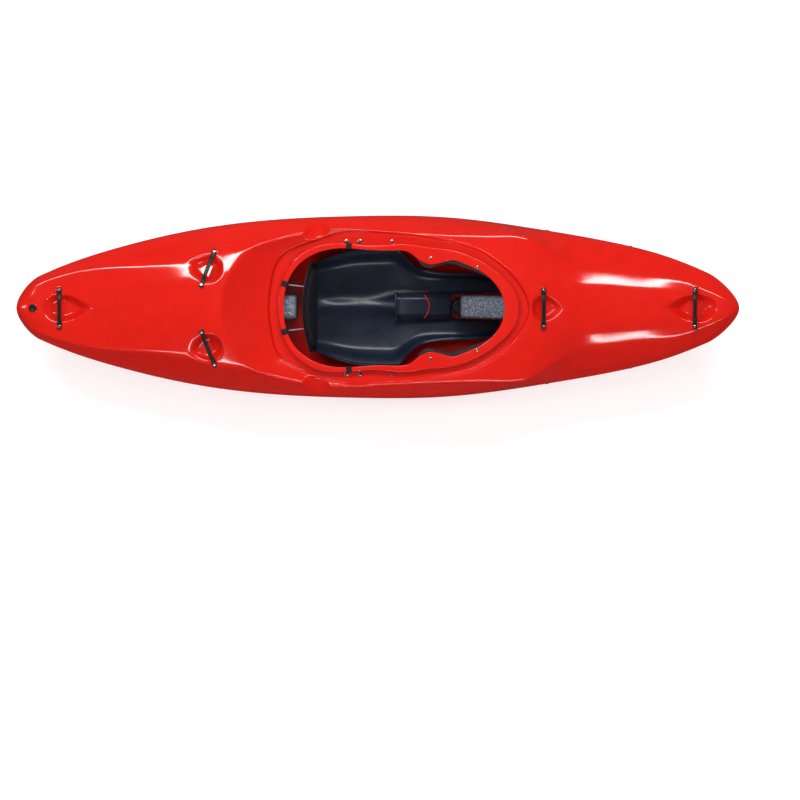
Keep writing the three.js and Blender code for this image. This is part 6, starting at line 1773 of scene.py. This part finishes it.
def inner_deck(x, y):
    """Underside of the finished deck with the running gap, at points of the plan."""
    x, y = np.broadcast_arrays(np.asarray(x, float), np.asarray(y, float))
    flat_x, flat_y = x.ravel(), y.ravel()
    near = [finished_deck(flat_x + step, flat_y, deck_height(flat_x + step, flat_y)) for step in (-8, 0, 8)]
    return np.min(near, axis=0).reshape(x.shape) - WALL * 1.25 - 0.6


def pillar(name, stretches, top_line):
    """A foam block along the hull, from the floor to a top line or the deck, with rounded oblong sections.

    The stretches are (start, stop, sections), closer together at both ends where the corners are.
    """
    places = [np.linspace(start, stop, sections)[1:] for start, stop, sections in stretches]
    x = np.concatenate([[stretches[0][0]]] + places)
    shape_y, shape_z = oblong(PILLAR_SIDES, 0.3, 0.3, math.pi / PILLAR_SIDES)
    inset = CORNER * (1 - rounded_end(np.minimum(x - x[0], x[-1] - x) / CORNER)) * 0.8
    y = shape_y * (PILLAR_HALF - 0.1 - inset)[:, None]
    floor = keel_height(x) + WALL + 0.5 + inset * 0.2
    cut = np.interp(x, *np.transpose(top_line))
    top = np.minimum(cut[:, None], inner_deck(x[:, None], y)) - inset[:, None]
    z = (floor[:, None] + top) / 2 + (top - floor[:, None]) / 2 * shape_z
    rings = np.stack([np.broadcast_to(x[:, None], y.shape), y, z], -1)
    return joined(name, [closed_ends(rings)])


front_pillar = pillar("front_pillar_foam", [(298.2, 306, 8), (306, 592, 96), (592, 599.8, 8)], FRONT_TOP)
rear_pillar = pillar("rear_pillar_foam", [(-897, -889, 6), (-889, -297, 150), (-297, -289.2, 8)], REAR_TOP)
print("pillars", len(front_pillar.data.polygons), len(rear_pillar.data.polygons))

# %% [markdown]
# The cap's outline is half an ellipse with a flat back. Its rings go up the cap, and turn in over the top.

# %% Pillar cap
CAP_X, CAP_DEEP, CAP_HALF, CAP_LOW, CAP_HIGH, CAP_ROUND = 297.8, 30.0, 29.0, WALL + 0.4, WALL + 160.3, 5.0


def cap_grid():
    """The half-elliptical cap as rings up its height, drawn in a little at the rounded top edge."""
    turn = np.linspace(-np.pi / 2, np.pi / 2, 41)
    front = np.stack([-CAP_DEEP * np.cos(turn), CAP_HALF * np.sin(turn)], -1)
    back = np.stack([np.zeros(20), np.linspace(CAP_HALF, -CAP_HALF, 20)], -1)[1:-1]
    outline = np.concatenate([front, back])
    levels = [(0, CAP_LOW), (0, CAP_HIGH - CAP_ROUND)]
    levels += [(CAP_ROUND * (1 - math.cos(a)), CAP_HIGH - CAP_ROUND * (1 - math.sin(a)))
               for a in np.linspace(0.2, math.pi / 2, 7)]
    levels += [(14, CAP_HIGH), (28.5, CAP_HIGH)]
    grid = np.stack([np.column_stack([outline * (1 - inset / CAP_HALF), np.full(len(outline), z)])
                     for inset, z in levels])
    grid[..., 0] = np.minimum(grid[..., 0], -0.2) + CAP_X
    return grid, grid_faces(len(levels), len(outline), close_columns=True)[:, ::-1]


pillar_cap = joined("pillar_cap_cover", [cap_grid()])
print("cap", len(pillar_cap.data.polygons), "faces")

# %% [markdown]
# The foot plate slides on two rails, far forward in the hull. Its pad of foam is thick and soft at the edge,
# and ribbed across. The pad takes its size from the plain solid that it stands for, so the two stay together.

# %% Foot pad
PAD_OUTLINE = np.array([[0.645, -0.94], [0.918, -0.53], [1, -0.245], [1, 0.347], [0.82, 0.735], [0.568, 1]])
PAD_SOFT, PAD_RIB, PAD_RIBS, PAD_SHARE = 9.0, 0.8, 9, 0.985
pad_low, pad_high = (np.array(corner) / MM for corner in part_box("foot_pad"))
pad_middle, pad_half = (pad_low + pad_high) / 2, (pad_high - pad_low) / 2
across, height = np.meshgrid(np.linspace(1, -1, 61), np.linspace(-1, 1, 41), indexing="ij")
half_width = np.interp((height + 1) * 0.97 - 0.94, PAD_OUTLINE[:, 1], PAD_OUTLINE[:, 0])
rim = np.clip(1 - np.maximum(np.abs(across), np.abs(height)) ** 10, 0, 1) ** 0.35
ribbed = np.maximum(np.abs(across), np.abs(height)) < 0.86
ribs = PAD_RIB * smoothstep((np.cos(height * np.pi * PAD_RIBS) - 0.2) / 0.5) * ribbed
front = pad_low[0] + PAD_SOFT * (1 - rim) + 1.2 - ribs
back = np.full_like(front, pad_high[0] - 0.4)
y = pad_middle[1] + across * pad_half[1] * half_width * PAD_SHARE
z = pad_middle[2] + height * pad_half[2] * PAD_SHARE
loops = np.concatenate([np.stack([front, y, z], -1), np.stack([back, y, z], -1)[:, ::-1]], axis=1)
foot_pad = joined("foot_pad_foam", [closed_ends(loops)])
print("foot pad", len(foot_pad.data.polygons), "faces")

# %% [markdown]
# ## Which piece rides where
# Every new piece takes its finish and rides on the body of the node that it stands for. The elastic cords
# behind the backband ride on no body.

# %% Ride
outfit = [
    (seat, "seat", "navy_plastic", ["seat_pan"]), (seat_frame, "seat", "navy_plastic", ["seat_pan"]),
    (hangers[1], "seat", "black_plastic", ["seat_hanger_port"]),
    (hangers[-1], "seat", "black_plastic", ["seat_hanger_starboard"]),
    (lifter, "lifter", "navy_plastic", ["leg_lifter"]), (barrel, "lifter", "navy_plastic", ["leg_lifter"]),
    (lifter_pin, "seat", "bright_steel", ["lifter_pin"]), (lift_cord, "lifter", "red_cord", ["lift_cord"]),
    (band_shell, "backband", "black_plastic", ["backband_shell"]),
    (band_pad, "backband", "black_fabric", ["backband_pad"]),
    (band_piping, "backband", "webbing", ["backband_pad"]),
    (bosses, "hull", "red_shell", ["hull_shell"]), (spot_faces, "hull", "red_shell", ["hull_shell"]),
    (front_pillar, "hull", "grey_foam", ["front_pillar"]),
    (rear_pillar, "hull", "grey_foam", ["rear_pillar"]),
    (pillar_cap, "hull", "black_plastic", ["pillar_cap"]),
    (drain_plug, "drain", "black_plastic", ["drain_plug"]),
    (foot_pad, "foot_brace", "black_foam", ["foot_pad"]), (seat_seam, "seat", "navy_plastic", ["seat_pan"]),
]
for hand, side in SIDES.items():
    outfit.append((straps[side], "backband", "black_plastic", [f"ladder_strap_{hand}"]))
    outfit.append((braces[side], f"brace_{hand}", "black_foam", [f"thigh_brace_{hand}"]))
    outfit.append((back_cords[side], None, "grey_cord", [f"back_cord_{hand}"]))
outfit += [(web, "hull", "webbing", [node]) for node, web in webs.items()]
outfit += [(bar, "hull", "black_plastic", [node]) for node, bar in bars.items()]
outfit += [(screw, "hull", "bright_steel", [node]) for node, screw in bar_screws.items()]
outfit += [(bolt, "hull", "bright_steel", [node]) for node, bolt in bolts.items()]
for thing, body, slot, nodes in outfit:
    finish_piece(thing, body, FINISHES[slot], slot, *nodes)
for side, cord in back_cords.items():
    path = back_cord_path(side) * MM
    tuple(path[0])
    tuple(path[-1])
    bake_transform(cord)

# %% [markdown]
# ## Carried over
# Pieces whose plain solids already look right keep them, with the finish of their slot.

# %% Carried over
node_slots = {part["node"]: part["material_slot"] for part in frame["record"]["subparts"]}
carried = [name for name, node in frame["nodes"].items() if name not in replaced]
for name in carried:
    node = frame["nodes"][name]
    node.data.materials.clear()
    node.data.materials.append(FINISHES[node_slots[name]])
print("carried over:", sorted(carried))
